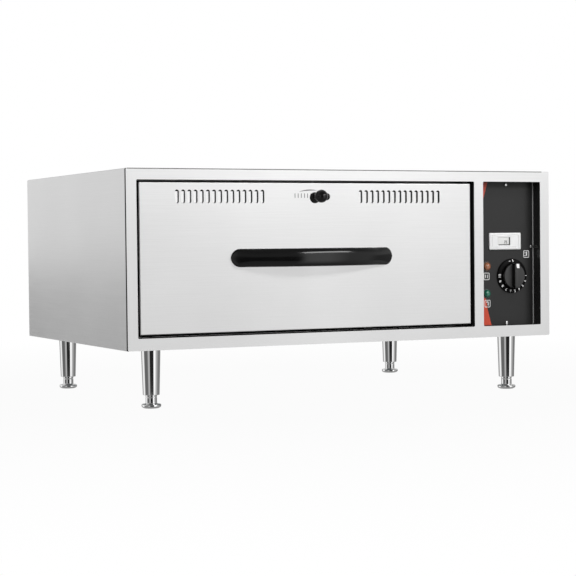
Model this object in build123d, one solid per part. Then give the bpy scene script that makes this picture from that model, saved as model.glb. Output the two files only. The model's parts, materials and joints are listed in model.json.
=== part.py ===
from build123d import *
import os

# Warming drawer on four legs, in millimetres, +Z up.
# X runs to the right as seen from the front, the front faces -Y, and the origin is the
# middle of the whole object's footprint, at floor level.

# Cabinet and legs
cabinet_width = 740
cabinet_depth = 500
cabinet_height = 270
leg_height = 90

# Bars of the face frame, and the opening that holds the controls
left_stile = 16
divider = 17
right_stile = 17
bottom_rail = 18
top_rail = 17
control_opening_width = 110
opening_corner_radius = 2
shell_corner_radius = 2.5

# Sheets
shell_sheet = 1.2
base_sheet = 1.5
liner_sheet = 0.8
drawer_sheet = 1.2
inner_cover_sheet = 1.0
rack_sheet = 1.5
pan_sheet = 1.0
panel_sheet = 1.5
deflector_sheet = 1.0
slide_sheet = 1.5
cage_sheet = 0.7

# Shadow groove between the face frame and the wrap, and the folded edges
groove_width = 5
groove_depth = 3
frame_return = 20
hem_width = 15
rear_lip = 14
base_flange = 20

# Drawer front in its opening
drawer_recess = 4
drawer_side_gap = 4.5
drawer_top_gap = 3
drawer_bottom_gap = 4.5
drawer_front_depth = 26
drawer_bend_radius = 1.8
inner_cover_flange = 10
seal_gap = 4
seal_width = 10
seal_inset = 2
seal_land = 20

# Cavity
cavity_rear_room = 56
liner_corner_radius = 5
insulation_air_gap = 0.5
bottom_insulation = 13
rear_insulation = 25
liner_foot_inset = 12
liner_foot_width = 60
liner_foot_edge = 80

# Telescopic slides: three members each side, with two rows of balls per stage
slide_rear_gap = 4
slide_height = 45
slide_thickness = 12.7
slide_front_gap = 6
slide_drop = 57
slide_lip_gap = 1
ball_diameter = 3.6
ball_gap = 0.2
ball_hole_gap = 0.1
cage_gap = 0.4
cage_edge = 0.3
cage_length = 190
balls_per_row = 6

# Pan and the rack that carries it
pan_side_room = 5
pan_rim_depth = 325
pan_rim = 12
pan_head_room = 17
pan_corner_radius = 45
pan_bottom_radius = 12
pan_draft = 4
pan_front_gap = 8
pan_floor_gap = 4
rack_wall_gap = 2
rack_body_gap = 2
rack_cross_height = 46
rack_rear_height = 22
rack_side_edge = 6

# Handle: a bow in plan with round ends
handle_length = 277
handle_height = 28
handle_projection = 40
handle_thickness = 13
handle_tip = 3
handle_foot = 32
handle_edge_radius = 4
handle_drop = 1.25
handle_screw_radius = 2.5
handle_screw_depth = 6
handle_screw_head_radius = 5
handle_screw_head = 3

# Vents, their slider and its ball knob
vent_pitch = 10
vents_per_group = 15
vent_width = 6.3
vent_height = 20.5
vent_drop = 21.75
vent_margin = 61
slider_slot_width = 5
slider_sheet = 1
slider_skin_gap = 1.8
slider_margin = 5
guide_thickness = 4.4
guide_height = 6.5
guide_bite = 3
guide_play = 0.3
guide_overrun = 8
inner_vent_height = 11
vent_knob_offset = 4
vent_knob_radius = 10
vent_knob_reach = 24
vent_stem_radius = 4
vent_collar_radius = 8.5
vent_collar = 1.7
vent_collar_drop = 1.8
vent_knob_slot_left = 8
vent_knob_slot_length = 35
vent_knob_slot_height = 11
vent_stem_head_radius = 6
vent_stem_head = 1.5
moving_gap = 0.3

# Heating element, its clips and the deflector over it
element_radius = 4
element_height = 11
element_inset = 85
element_left_inset = 45
element_bend = 40
element_pin_reach = 24
element_hole_gap = 0.5
clip_width = 12
clip_wall = 1.2
clips_per_run = 3
deflector_height = 24
deflector_side_gap = 5
deflector_end_gap = 8
deflector_slot_length = 34
deflector_slot_width = 6
deflector_columns = 10
deflector_rows = 9

# Control recess, its panel and what the panel carries
panel_recess = 21
panel_gap = 0.3
recess_lip = 5
recess_flange = 11
panel_screw_inset = 4.2
panel_screw_across = 56.5
panel_screw_up = 128.8
panel_screw_radius = 1.6
panel_screw_head_radius = 3.2
panel_screw_head = 2
panel_screw_length = 8
dial_across = 67
dial_up = 80.7
dial_radius = 28.4
dial_thickness = 4
dial_bore_radius = 9
dial_chamfer = 1.5
knob_radius = 20.7
knob_disc = 5.7
knob_grip_width = 10
knob_grip_height = 11.3
knob_edge_radius = 1
spindle_radius = 3
spindle_play = 0.08
spindle_in_body = 12
bush_radius = 6
bush_reach = 3
thermostat_width = 44
thermostat_height = 34
thermostat_depth = 38
lamp_across = 19
lamp_orange_up = 96.6
lamp_green_up = 52
lamp_lens_radius = 7.9
lamp_lens_height = 5
lamp_stem_radius = 5
lamp_body_radius = 6.5
lamp_body_length = 30
thermometer_across = 53.7
thermometer_up = 137.9
thermometer_width = 61
thermometer_height = 27.5
thermometer_lip = 2.5
thermometer_neck_inset = 2
thermometer_body_depth = 22
display_width = 24
display_height = 12.9
display_recess = 1.2
display_sheet = 1
display_offset = 2.3

# Inside the control bay
bulb_radius = 3
bulb_length = 80
bulb_wall_gap = 5
bulb_height = 62
bulb_front_inset = 150
bulb_clip_inset = 14
capillary_radius = 0.8
capillary_lead = 22
capillary_bay_reach = 22
capillary_bend = 9
capillary_hole_gap = 1.5
terminal_block_width = 60
terminal_block_depth = 25
terminal_block_height = 20
terminal_block_front = 276
terminal_block_across = 75
wire_radius = 1.4
wire_bend = 9
gland_across = 75
gland_up = 55
gland_reach = 12
gland_inside = 9
gland_bore_radius = 5
gland_thread_radius = 8
gland_hex = 22
gland_flange = 5
gland_hole_gap = 0.1
locknut = 4

# Rear panel slots and screws
rear_slot_length = 60
rear_slot_width = 4
rear_slot_pitch = 10
rear_slots = 9
rear_slot_from_top = 45
rear_screw_radius = 1.9
rear_screw_head_radius = 3.8
rear_screw_head = 1.8
rear_screw_length = 7
rear_screw_edge = 8
rear_screw_end = 60
rear_screws_across = 4

# Legs with levelling feet
leg_inset_x = 53.6
leg_inset_y = 48.5
leg_top_radius = 14.8
leg_bottom_radius = 12.7
leg_body_height = 70
foot_flange_radius = 16.25
foot_flange = 7.8
foot_edge = 1
foot_neck_radius = 9.4
foot_hidden = 30
foot_play = 0.3
leg_bore_spare = 3
leg_stud_radius = 6
leg_stud_length = 20
leg_hole_gap = 0.2
leg_plate_size = 60
leg_plate = 3

# Planes and edges that the pieces share
left_x = -cabinet_width / 2
right_x = cabinet_width / 2
handle_reach = handle_projection - drawer_recess
front_y = (handle_reach - gland_reach - cabinet_depth) / 2
rear_y = front_y + cabinet_depth
base_z = leg_height
top_z = base_z + cabinet_height

open_left = left_x + left_stile
control_right = right_x - right_stile
control_left = control_right - control_opening_width
open_right = control_left - divider
open_bottom = base_z + bottom_rail
open_top = top_z - top_rail

skin_left = open_left + drawer_side_gap
skin_right = open_right - drawer_side_gap
skin_bottom = open_bottom + drawer_bottom_gap
skin_top = open_top - drawer_top_gap
skin_y = front_y + drawer_recess
skin_back_y = skin_y + drawer_sheet
cover_y = skin_y + drawer_front_depth
land_y = cover_y + seal_gap

cavity_left = open_left + seal_land
cavity_right = open_right - seal_land
cavity_bottom = open_bottom + seal_land
cavity_top = open_top - seal_land
cavity_back = rear_y - cavity_rear_room
base_top = base_z + shell_sheet + base_sheet
partition_x = open_right + (divider + shell_sheet) / 2
bay_left = partition_x + shell_sheet

pan_center_x = (cavity_left + cavity_right) / 2
pan_rim_width = cavity_right - cavity_left - 2 * pan_side_room
pan_bottom_z = cavity_bottom + deflector_height + pan_floor_gap
pan_depth = cavity_top - pan_head_room - pan_bottom_z
pan_front_y = cover_y + rack_sheet + pan_front_gap
pan_center_y = pan_front_y + pan_rim_depth / 2
pan_body_width = pan_rim_width - 2 * pan_rim
pan_body_depth = pan_rim_depth - 2 * pan_rim
ledge_z = pan_bottom_z + pan_depth - pan_sheet
slide_z = ledge_z - slide_drop - slide_height / 2
slide_y = land_y + slide_front_gap
slide_length = cavity_back - slide_rear_gap - slide_y

panel_y = front_y + panel_recess
panel_back_y = panel_y + panel_sheet
dial_x = control_left + dial_across
dial_z = open_bottom + dial_up
lamp_x = control_left + lamp_across
lamp_orange_z = open_bottom + lamp_orange_up
lamp_green_z = open_bottom + lamp_green_up
thermometer_x = control_left + thermometer_across
thermometer_z = open_bottom + thermometer_up
thermostat_back_y = panel_back_y + thermostat_depth

front_middle_x = (skin_left + skin_right) / 2
handle_z = (skin_bottom + skin_top) / 2 - handle_drop
vent_z = skin_top - vent_drop
vent_group_width = (vents_per_group - 1) * vent_pitch
vent_group_starts = (skin_left + vent_margin, skin_right - vent_margin - vent_group_width)
vent_knob_x = front_middle_x + vent_knob_offset
element_z = cavity_bottom + element_height
element_front_y = land_y + element_inset
element_rear_y = cavity_back - element_inset
element_pin_x = bay_left + element_pin_reach
bulb_x = cavity_right - bulb_wall_gap - bulb_radius
bulb_z = cavity_bottom + bulb_height
bulb_y = land_y + bulb_front_inset
capillary_y = bulb_y + bulb_length + capillary_lead
terminal_y = front_y + terminal_block_front
terminal_x = bay_left + terminal_block_across
terminal_z = base_top + terminal_block_height / 2


def block(x0, x1, y0, y1, z0, z1):
    """A box between two opposite corners."""
    middle = Pos((x0 + x1) / 2, (y0 + y1) / 2, (z0 + z1) / 2)
    return middle * Box(x1 - x0, y1 - y0, z1 - z0)


def rounded_block(x0, x1, y0, y1, z0, z1, radius):
    """A box whose four edges along Y are rounded."""
    plain = block(x0, x1, y0, y1, z0, z1)
    return fillet(plain.edges().filter_by(Axis.Y), radius)


def rod_x(x0, x1, y, z, radius):
    """A round bar along X."""
    return Pos((x0 + x1) / 2, y, z) * Rot(0, 90, 0) * Cylinder(radius, x1 - x0)


def rod_y(x, z, y0, y1, radius):
    """A round bar along Y."""
    return Pos(x, (y0 + y1) / 2, z) * Rot(90, 0, 0) * Cylinder(radius, y1 - y0)


def rod_z(x, y, z0, z1, radius):
    """A round bar along Z."""
    return Pos(x, y, (z0 + z1) / 2) * Cylinder(radius, z1 - z0)


def slot_y(x, z, y0, y1, length, width, turn=0):
    """A round-ended slot cut along Y, its length along X before it is turned about Y."""
    outline = Plane((x, y0, z), x_dir=(1, 0, 0), z_dir=(0, 1, 0)) * Rot(0, 0, turn)
    return extrude(outline * SlotOverall(length, width), y1 - y0)


def tube(points, radius, bend):
    """A round bar along straight runs joined by arcs."""
    path = FilletPolyline(*points, radius=[bend] * (len(points) - 2))
    section = Plane(path @ 0, z_dir=path % 0) * Circle(radius)
    return sweep(section, path=path)


def vent_places():
    """The X of every vent slot, left group first."""
    places = []
    for start in vent_group_starts:
        for number in range(vents_per_group):
            places.append(start + number * vent_pitch)
    return places


def leg_places():
    """The four leg centres with their names."""
    places = {}
    for side, x in (("left", left_x + leg_inset_x), ("right", right_x - leg_inset_x)):
        for end, y in (("front", front_y + leg_inset_y), ("rear", rear_y - leg_inset_y)):
            places[end + "_" + side] = (x, y)
    return places


def element_route():
    """The centre line of the heating element, from one cold pin round to the other."""
    turn_x = cavity_left + element_left_inset
    return [
        (element_pin_x, element_front_y, element_z),
        (turn_x, element_front_y, element_z),
        (turn_x, element_rear_y, element_z),
        (element_pin_x, element_rear_y, element_z),
    ]


def side_wall_holes(x0, x1):
    """Holes for the element's two ends and the capillary through a wall beside the cavity."""
    holes = []
    for y in (element_front_y, element_rear_y):
        holes.append(rod_x(x0, x1, y, element_z, element_radius + element_hole_gap))
    holes.append(rod_x(x0, x1, capillary_y, bulb_z, capillary_radius + capillary_hole_gap))
    return holes


def front_frame():
    """Face sheet with two openings, a deep return round the drawer opening and outer returns."""
    face = rounded_block(left_x, right_x, front_y, front_y + shell_sheet, base_z, top_z,
                         shell_corner_radius)
    behind = front_y + shell_sheet
    ring = block(left_x + groove_depth, right_x - groove_depth, behind, front_y + frame_return,
                 base_z, top_z - groove_depth)
    ring -= block(left_x + groove_depth + shell_sheet, right_x - groove_depth - shell_sheet,
                  behind, front_y + frame_return,
                  base_z + shell_sheet, top_z - groove_depth - shell_sheet)
    throat = rounded_block(open_left - shell_sheet, open_right + shell_sheet, front_y, land_y,
                           open_bottom - shell_sheet, open_top + shell_sheet,
                           opening_corner_radius + shell_sheet)
    frame = face + ring + throat
    frame -= rounded_block(open_left, open_right, front_y, land_y, open_bottom, open_top,
                           opening_corner_radius)
    frame -= rounded_block(control_left, control_right, front_y, behind, open_bottom, open_top,
                           opening_corner_radius)
    return frame


def outer_wrap():
    """Left side, top and right side in one folded sheet, with hems at its free edges."""
    start = front_y + shell_sheet + groove_width
    outer = block(left_x, right_x, start, rear_y, base_z, top_z)
    top_edges = outer.edges().filter_by(Axis.Y).group_by(Axis.Z)[-1]
    outer = fillet(top_edges, shell_corner_radius)
    inner = block(left_x + shell_sheet, right_x - shell_sheet, start, rear_y,
                  base_z, top_z - shell_sheet)
    inner_edges = inner.edges().filter_by(Axis.Y).group_by(Axis.Z)[-1]
    inner = fillet(inner_edges, shell_corner_radius - shell_sheet)
    wrap = outer - inner
    front_hem = block(left_x + shell_sheet / 2, right_x - shell_sheet / 2, start,
                      start + shell_sheet, base_z, top_z - shell_sheet / 2)
    front_hem -= block(left_x + groove_depth, right_x - groove_depth, start,
                       start + shell_sheet, base_z, top_z - groove_depth)
    lip_y = rear_y - 2 * shell_sheet
    rear_hem = block(left_x + shell_sheet / 2, right_x - shell_sheet / 2, lip_y,
                     lip_y + shell_sheet, base_z, top_z - shell_sheet / 2)
    rear_hem -= block(left_x + shell_sheet + rear_lip, right_x - shell_sheet - rear_lip, lip_y,
                      lip_y + shell_sheet, base_z, top_z - shell_sheet - rear_lip)
    hem_y = front_y + frame_return + moving_gap
    left_hem = block(left_x + shell_sheet / 2, left_x + shell_sheet + hem_width, hem_y, lip_y,
                     base_z, base_z + shell_sheet)
    right_hem = block(right_x - shell_sheet - hem_width, right_x - shell_sheet / 2, hem_y, lip_y,
                      base_z, base_z + shell_sheet)
    wrap = wrap + front_hem + rear_hem + left_hem + right_hem
    for x, z in rear_screw_places():
        wrap -= rod_y(x, z, lip_y, lip_y + shell_sheet, rear_screw_radius)
    return wrap


def base_pan():
    """Floor plate with upturned sides and rear, resting on the hems and on the frame's lower return."""
    x0 = left_x + shell_sheet
    x1 = right_x - shell_sheet
    y0 = front_y + frame_return + moving_gap
    y1 = rear_y - 2 * shell_sheet
    z0 = base_z + shell_sheet
    pan = block(x0, x1, y0, y1, z0, base_top + base_flange)
    pan -= block(x0 + base_sheet, x1 - base_sheet, y0, y1 - base_sheet, base_top,
                 base_top + base_flange)
    inset = groove_depth + shell_sheet + moving_gap
    pan += block(left_x + inset, right_x - inset, front_y + shell_sheet + moving_gap, y0,
                 z0, base_top)
    for x, y in leg_places().values():
        pan -= rod_z(x, y, z0, base_top, leg_stud_radius + leg_hole_gap)
    return pan


def rear_screw_places():
    """Centres of the screws along the two sides and the top of the rear panel."""
    places = []
    side_x = shell_sheet + rear_screw_edge
    for z in (base_z + rear_screw_end, top_z - rear_screw_end):
        places.append((left_x + side_x, z))
        places.append((right_x - side_x, z))
    step = (cabinet_width - 2 * rear_screw_end) / (rear_screws_across - 1)
    for number in range(rear_screws_across):
        places.append((left_x + rear_screw_end + number * step, top_z - side_x))
    return places


def gland_place():
    """Centre of the cable entry in the rear panel."""
    return bay_left + gland_across, base_z + gland_up


def rear_panel():
    """Flat back cover with cooling slots behind the control bay and a round cable entry."""
    panel = block(left_x + shell_sheet, right_x - shell_sheet, rear_y - shell_sheet, rear_y,
                  base_z, top_z - shell_sheet)
    top_edges = panel.edges().filter_by(Axis.Y).group_by(Axis.Z)[-1]
    panel = fillet(top_edges, shell_corner_radius - shell_sheet)
    slot_x = (bay_left + right_x - shell_sheet) / 2
    for number in range(rear_slots):
        z = top_z - rear_slot_from_top - number * rear_slot_pitch
        panel -= slot_y(slot_x, z, rear_y - shell_sheet, rear_y, rear_slot_length, rear_slot_width)
    x, z = gland_place()
    panel -= rod_y(x, z, rear_y - shell_sheet, rear_y, gland_thread_radius + gland_hole_gap)
    for x, z in rear_screw_places():
        panel -= rod_y(x, z, rear_y - shell_sheet, rear_y, rear_screw_radius)
    return panel


def rear_panel_screws():
    """Pan-head screws that hold the rear panel to the wrap."""
    screws = []
    for x, z in rear_screw_places():
        head = rod_y(x, z, rear_y, rear_y + rear_screw_head, rear_screw_head_radius)
        head = fillet(head.edges().group_by(Axis.Y)[-1], rear_screw_head / 2)
        screws.append(head + rod_y(x, z, rear_y - rear_screw_length, rear_y, rear_screw_radius))
    return screws


def cable_gland():
    """Hexagonal gland body through the rear panel and the locknut behind the panel."""
    x, z = gland_place()
    outward = Plane((x, rear_y, z), x_dir=(1, 0, 0), z_dir=(0, 1, 0))
    cap = extrude(outward * RegularPolygon(gland_hex / 2, 6, major_radius=False), gland_flange)
    dome = rod_y(x, z, rear_y, rear_y + gland_reach, gland_hex / 2 - 1)
    dome = fillet(dome.edges().group_by(Axis.Y)[-1], (gland_reach - gland_flange) / 2)
    thread = rod_y(x, z, rear_y - shell_sheet - gland_inside, rear_y, gland_thread_radius)
    bore = rod_y(x, z, rear_y - shell_sheet - gland_inside, rear_y + gland_reach,
                 gland_bore_radius)
    inward = Plane((x, rear_y - shell_sheet, z), x_dir=(1, 0, 0), z_dir=(0, -1, 0))
    nut = extrude(inward * RegularPolygon(gland_hex / 2, 6, major_radius=False), locknut)
    nut -= rod_y(x, z, rear_y - shell_sheet - locknut, rear_y - shell_sheet,
                 gland_thread_radius + gland_hole_gap)
    return [cap + dome + thread - bore, nut]


def cavity_liner():
    """Open-fronted heated box with a flange for the drawer seal and two rear feet."""
    t = liner_sheet
    flange = rounded_block(open_left - shell_sheet, open_right + shell_sheet, land_y, land_y + t,
                           open_bottom - shell_sheet, open_top + shell_sheet,
                           opening_corner_radius)
    outer = rounded_block(cavity_left - t, cavity_right + t, land_y, cavity_back + t,
                          cavity_bottom - t, cavity_top + t, liner_corner_radius + t)
    liner = flange + outer
    liner -= rounded_block(cavity_left, cavity_right, land_y, cavity_back,
                           cavity_bottom, cavity_top, liner_corner_radius)
    for hole in side_wall_holes(cavity_right, cavity_right + t):
        liner -= hole
    foot_y = cavity_back - liner_foot_inset
    for x in (cavity_left + liner_foot_edge, cavity_right - liner_foot_edge - liner_foot_width):
        liner += block(x, x + liner_foot_width, foot_y, foot_y + shell_sheet, base_top,
                       cavity_bottom - t / 2)
    return liner


def partition_panel():
    """Wall between the insulated cavity and the control bay."""
    y0 = front_y + frame_return + moving_gap
    y1 = rear_y - 2 * shell_sheet
    wall = block(partition_x, bay_left, y0, y1, base_top, top_z - shell_sheet)
    tab = block(open_right + shell_sheet, partition_x, y0, y0 + shell_sheet,
                open_bottom, open_top)
    foot = block(bay_left, bay_left + hem_width, y0, y1 - base_sheet, base_top,
                 base_top + shell_sheet)
    wall += tab + foot
    wall -= block(partition_x, bay_left, y1 - base_sheet, y1, base_top, base_top + base_flange)
    for hole in side_wall_holes(partition_x, bay_left):
        wall -= hole
    return wall


def insulation_blanket():
    """Mineral wool folded over the left, the top and the right of the liner."""
    t = liner_sheet
    y0 = land_y + t
    y1 = cavity_back + t
    x0 = left_x + shell_sheet + base_sheet + insulation_air_gap
    x1 = partition_x - insulation_air_gap
    z0 = base_top + leg_plate + insulation_air_gap
    blanket = block(x0, x1, y0, y1, z0, top_z - shell_sheet - insulation_air_gap)
    blanket -= rounded_block(cavity_left - t, cavity_right + t, y0, y1,
                             cavity_bottom - t, cavity_top + t, liner_corner_radius + t)
    blanket -= block(cavity_left - t, cavity_right + t, y0, y1, z0,
                     (cavity_bottom + cavity_top) / 2)
    for hole in side_wall_holes(cavity_right, x1):
        blanket -= hole
    return blanket


def insulation_bottom():
    """Mineral wool board under the liner, in front of the liner's rear feet."""
    t = liner_sheet
    z1 = cavity_bottom - t
    return block(cavity_left + liner_corner_radius, cavity_right - liner_corner_radius,
                 land_y + t, cavity_back - liner_foot_inset - moving_gap,
                 z1 - bottom_insulation, z1)


def insulation_rear():
    """Mineral wool board behind the liner."""
    y0 = cavity_back + liner_sheet
    return block(cavity_left, cavity_right, y0, y0 + rear_insulation, cavity_bottom, cavity_top)


def heating_element():
    """Tubular element lying as one wide hairpin, its cold pins in the control bay."""
    return tube(element_route(), element_radius, element_bend)


def element_clips():
    """Saddle clips that hold the element's two long runs on the cavity floor."""
    clips = []
    run_left = cavity_left + element_left_inset + element_bend
    run = cavity_right - element_bend - run_left
    for y in (element_front_y, element_rear_y):
        for number in range(clips_per_run):
            x = run_left + run * (number + 0.5) / clips_per_run
            x0 = x - clip_width / 2
            x1 = x + clip_width / 2
            reach = element_radius + clip_wall
            clip = block(x0, x1, y - reach, y + reach, cavity_bottom, element_z)
            clip += rod_x(x0, x1, y, element_z, reach)
            clips.append(clip - rod_x(x0, x1, y, element_z, element_radius))
    return clips


def heat_deflector():
    """Slotted cover that stands over the element on its two folded sides."""
    x0 = cavity_left + deflector_side_gap
    x1 = cavity_right - deflector_side_gap
    y0 = land_y + deflector_end_gap
    y1 = cavity_back - deflector_end_gap
    z1 = cavity_bottom + deflector_height
    cover = block(x0, x1, y0, y1, cavity_bottom, z1)
    cover -= block(x0 + deflector_sheet, x1 - deflector_sheet, y0, y1,
                   cavity_bottom, z1 - deflector_sheet)
    step_x = (x1 - x0) / deflector_columns
    step_y = (y1 - y0) / deflector_rows
    slots = []
    for column in range(deflector_columns):
        for row in range(deflector_rows):
            middle = Pos(x0 + (column + 0.5) * step_x, y0 + (row + 0.5) * step_y,
                         z1 - deflector_sheet)
            outline = middle * SlotOverall(deflector_slot_length, deflector_slot_width)
            slots.append(extrude(outline, deflector_sheet))
    cover -= slots
    for y in (element_front_y, element_rear_y):
        gap = element_radius + clip_wall
        cover -= block(x1 - deflector_sheet, x1, y - gap, y + gap, cavity_bottom,
                       element_z + gap)
    return cover


def leg(x, y):
    """Tapered leg with a threaded stud above and a blind bore for the levelling foot below."""
    bottom_z = base_z - leg_body_height
    body = Pos(x, y, base_z - leg_body_height / 2) * Cone(leg_bottom_radius, leg_top_radius,
                                                          leg_body_height)
    body += rod_z(x, y, base_z, base_z + leg_stud_length, leg_stud_radius)
    retract = bottom_z - foot_flange
    bore = foot_hidden + retract + leg_bore_spare
    return body - rod_z(x, y, bottom_z, bottom_z + bore, foot_neck_radius + foot_play)


def foot(x, y):
    """Levelling foot: a flange on the floor and a neck that screws into the leg."""
    flange = rod_z(x, y, 0, foot_flange, foot_flange_radius)
    flange = chamfer(flange.edges().group_by(Axis.Z)[-1], foot_edge)
    neck_top = base_z - leg_body_height + foot_hidden
    return flange + rod_z(x, y, foot_flange, neck_top, foot_neck_radius)


def leg_plates():
    """Square threaded plates on the floor sheet, one over each leg."""
    plates = []
    half = leg_plate_size / 2
    for x, y in leg_places().values():
        plate = block(x - half, x + half, y - half, y + half, base_top, base_top + leg_plate)
        plates.append(plate - rod_z(x, y, base_top, base_top + leg_plate, leg_stud_radius))
    return plates


def across(side, t0, t1):
    """X span of a slide part, from its distances to the cavity wall on that side."""
    if side == "left":
        return cavity_left + t0, cavity_left + t1
    return cavity_right - t1, cavity_right - t0


def channel(side, t_web, t_open, half, sheet, y0, y1):
    """A folded channel: a web at t_web and two flanges that reach to t_open."""
    outer = across(side, min(t_web, t_open), max(t_web, t_open))
    shift = sheet if t_open > t_web else -sheet
    inner = across(side, min(t_web + shift, t_open), max(t_web + shift, t_open))
    bar = block(*outer, y0, y1, slide_z - half, slide_z + half)
    return bar - block(*inner, y0, y1, slide_z - half + sheet, slide_z + half - sheet)


# Heights and depths in the slide's section, from the outer channel inwards
outer_half = slide_height / 2
outer_ball_height = outer_half - slide_sheet - ball_gap - ball_diameter / 2
middle_half = outer_ball_height - ball_diameter / 2 - ball_gap
inner_ball_height = middle_half - slide_sheet - ball_gap - ball_diameter / 2
inner_half = inner_ball_height - ball_diameter / 2 - ball_gap
outer_cage_t = slide_sheet + cage_gap
middle_t = outer_cage_t + cage_sheet + cage_gap
inner_cage_t = middle_t + slide_sheet + cage_gap
inner_t = inner_cage_t + cage_sheet + cage_gap
lip_t = slide_thickness - slide_lip_gap
outer_ball_t = (middle_t + lip_t) / 2
inner_ball_t = (inner_t + slide_thickness - slide_sheet) / 2


def slide_outer(side):
    """Fixed channel on the cavity wall."""
    return channel(side, 0, lip_t, outer_half, slide_sheet, slide_y, slide_y + slide_length)


def slide_middle(side):
    """Channel that travels half as far as the drawer."""
    return channel(side, middle_t, lip_t, middle_half, slide_sheet,
                   slide_y, slide_y + slide_length)


def slide_inner(side):
    """Channel fixed to the pan rack, open towards the wall."""
    return channel(side, slide_thickness, inner_t, inner_half, slide_sheet,
                   slide_y, slide_y + slide_length)


def ball_places(ball_t, ball_height):
    """Centres of the balls of one stage on both sides."""
    places = []
    start = slide_y + (slide_length - cage_length) / 2
    for side in ("left", "right"):
        x = across(side, ball_t, ball_t)[0]
        for number in range(balls_per_row):
            y = start + cage_length * (number + 0.5) / balls_per_row
            for z in (slide_z - ball_height, slide_z + ball_height):
                places.append((x, y, z))
    return places


def ball_cages(cage_t, ball_t, ball_height):
    """The two ball cages of one stage: thin channels with a hole round each ball."""
    cages = []
    start = slide_y + (slide_length - cage_length) / 2
    hole_radius = ball_diameter / 2 + ball_hole_gap
    half = ball_height + cage_sheet / 2
    for side in ("left", "right"):
        cage = channel(side, cage_t, ball_t + hole_radius + cage_edge, half, cage_sheet,
                       start, start + cage_length)
        for x, y, z in ball_places(ball_t, ball_height):
            if (x < 0) == (across(side, 0, 0)[0] < 0):
                cage -= rod_z(x, y, z - cage_sheet, z + cage_sheet, hole_radius)
        cages.append(cage)
    return cages


def balls(ball_t, ball_height):
    """The steel balls of one stage."""
    return [Pos(*place) * Sphere(ball_diameter / 2) for place in ball_places(ball_t, ball_height)]


def drawer_front_skin():
    """Outer tray of the drawer front with its vents, the knob slot and the handle holes."""
    s = drawer_sheet
    tray = block(skin_left, skin_right, skin_y, cover_y, skin_bottom, skin_top)
    tray = fillet(tray.edges().filter_by(Axis.Y), drawer_bend_radius)
    tray = fillet(tray.faces().sort_by(Axis.Y)[0].edges(), drawer_bend_radius)
    tray -= rounded_block(skin_left + s, skin_right - s, skin_back_y, cover_y,
                          skin_bottom + s, skin_top - s, drawer_bend_radius - s / 2)
    for x in vent_places():
        tray -= slot_y(x, vent_z, skin_y, skin_back_y, vent_height, vent_width, 90)
    slot_x = vent_knob_x - vent_knob_slot_left + vent_knob_slot_length / 2
    tray -= slot_y(slot_x, vent_z, skin_y, skin_back_y, vent_knob_slot_length,
                   vent_knob_slot_height)
    for x in handle_screw_places():
        tray -= rod_y(x, handle_z, skin_y, skin_back_y, handle_screw_radius)
    return tray


def drawer_front_inner():
    """Inner cover that closes the drawer front, with short vent slots into the cavity."""
    s = drawer_sheet
    plate_y = cover_y - inner_cover_sheet
    cover = rounded_block(skin_left + s, skin_right - s, plate_y - inner_cover_flange, cover_y,
                          skin_bottom + s, skin_top - s, drawer_bend_radius - s / 2)
    cover -= block(skin_left + s + inner_cover_sheet, skin_right - s - inner_cover_sheet,
                   plate_y - inner_cover_flange, plate_y,
                   skin_bottom + s + inner_cover_sheet, skin_top - s - inner_cover_sheet)
    z = vent_z - (vent_height - inner_vent_height) / 2
    for x in vent_places():
        cover -= slot_y(x, z, plate_y, cover_y, inner_vent_height, vent_width, 90)
    return cover


def drawer_insulation():
    """Mineral wool board between the skin and the inner cover, below the vent slider."""
    edge = drawer_sheet + inner_cover_sheet + insulation_air_gap
    top = guide_spans()[0][0] - moving_gap
    board = block(skin_left + edge, skin_right - edge, skin_back_y,
                  cover_y - inner_cover_sheet, skin_bottom + edge, top)
    for x in handle_screw_places():
        board -= rod_y(x, handle_z, skin_back_y,
                       skin_back_y + handle_screw_head + moving_gap,
                       handle_screw_head_radius + moving_gap)
    return board


def drawer_gasket():
    """Seal round the inner cover that meets the liner's flange."""
    x0 = skin_left + seal_inset
    x1 = skin_right - seal_inset
    z0 = skin_bottom + seal_inset
    z1 = skin_top - seal_inset
    seal_back = land_y - moving_gap
    ring = rounded_block(x0, x1, cover_y, seal_back, z0, z1, seal_width)
    return ring - rounded_block(x0 + seal_width, x1 - seal_width, cover_y, seal_back,
                                z0 + seal_width, z1 - seal_width, seal_width / 2)


def handle_screw_places():
    """X of the two handle screws, in the middle of the handle's feet."""
    reach = (handle_length - handle_foot) / 2
    return front_middle_x - reach, front_middle_x + reach


def handle():
    """Bow handle: an arc in plan, round-ended in elevation, with soft edges."""
    half = handle_length / 2
    inner_half_span = half - handle_foot
    inner_rise = handle_projection - handle_thickness
    outline = Polyline((half, -handle_tip), (half, 0), (inner_half_span, 0))
    outline += ThreePointArc((inner_half_span, 0), (0, -inner_rise), (-inner_half_span, 0))
    outline += Polyline((-inner_half_span, 0), (-half, 0), (-half, -handle_tip))
    outline += ThreePointArc((-half, -handle_tip), (0, -handle_projection), (half, -handle_tip))
    bow = extrude(make_face(outline), handle_height / 2, both=True)
    front = Plane((0, 0, 0), x_dir=(1, 0, 0), z_dir=(0, -1, 0))
    ends = extrude(front * SlotOverall(handle_length, handle_height), handle_projection)
    bow = bow & ends
    outer_edges = []
    for edge in bow.edges():
        middle = edge @ 0.5
        if middle.Y < -handle_tip / 2 and edge.length > handle_foot:
            outer_edges.append(edge)
    bow = fillet(outer_edges, handle_edge_radius)
    bow = Pos(front_middle_x, skin_y, handle_z) * bow
    for x in handle_screw_places():
        bow -= rod_y(x, handle_z, skin_y - handle_screw_depth, skin_y,
                     handle_screw_radius)
    return bow


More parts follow.
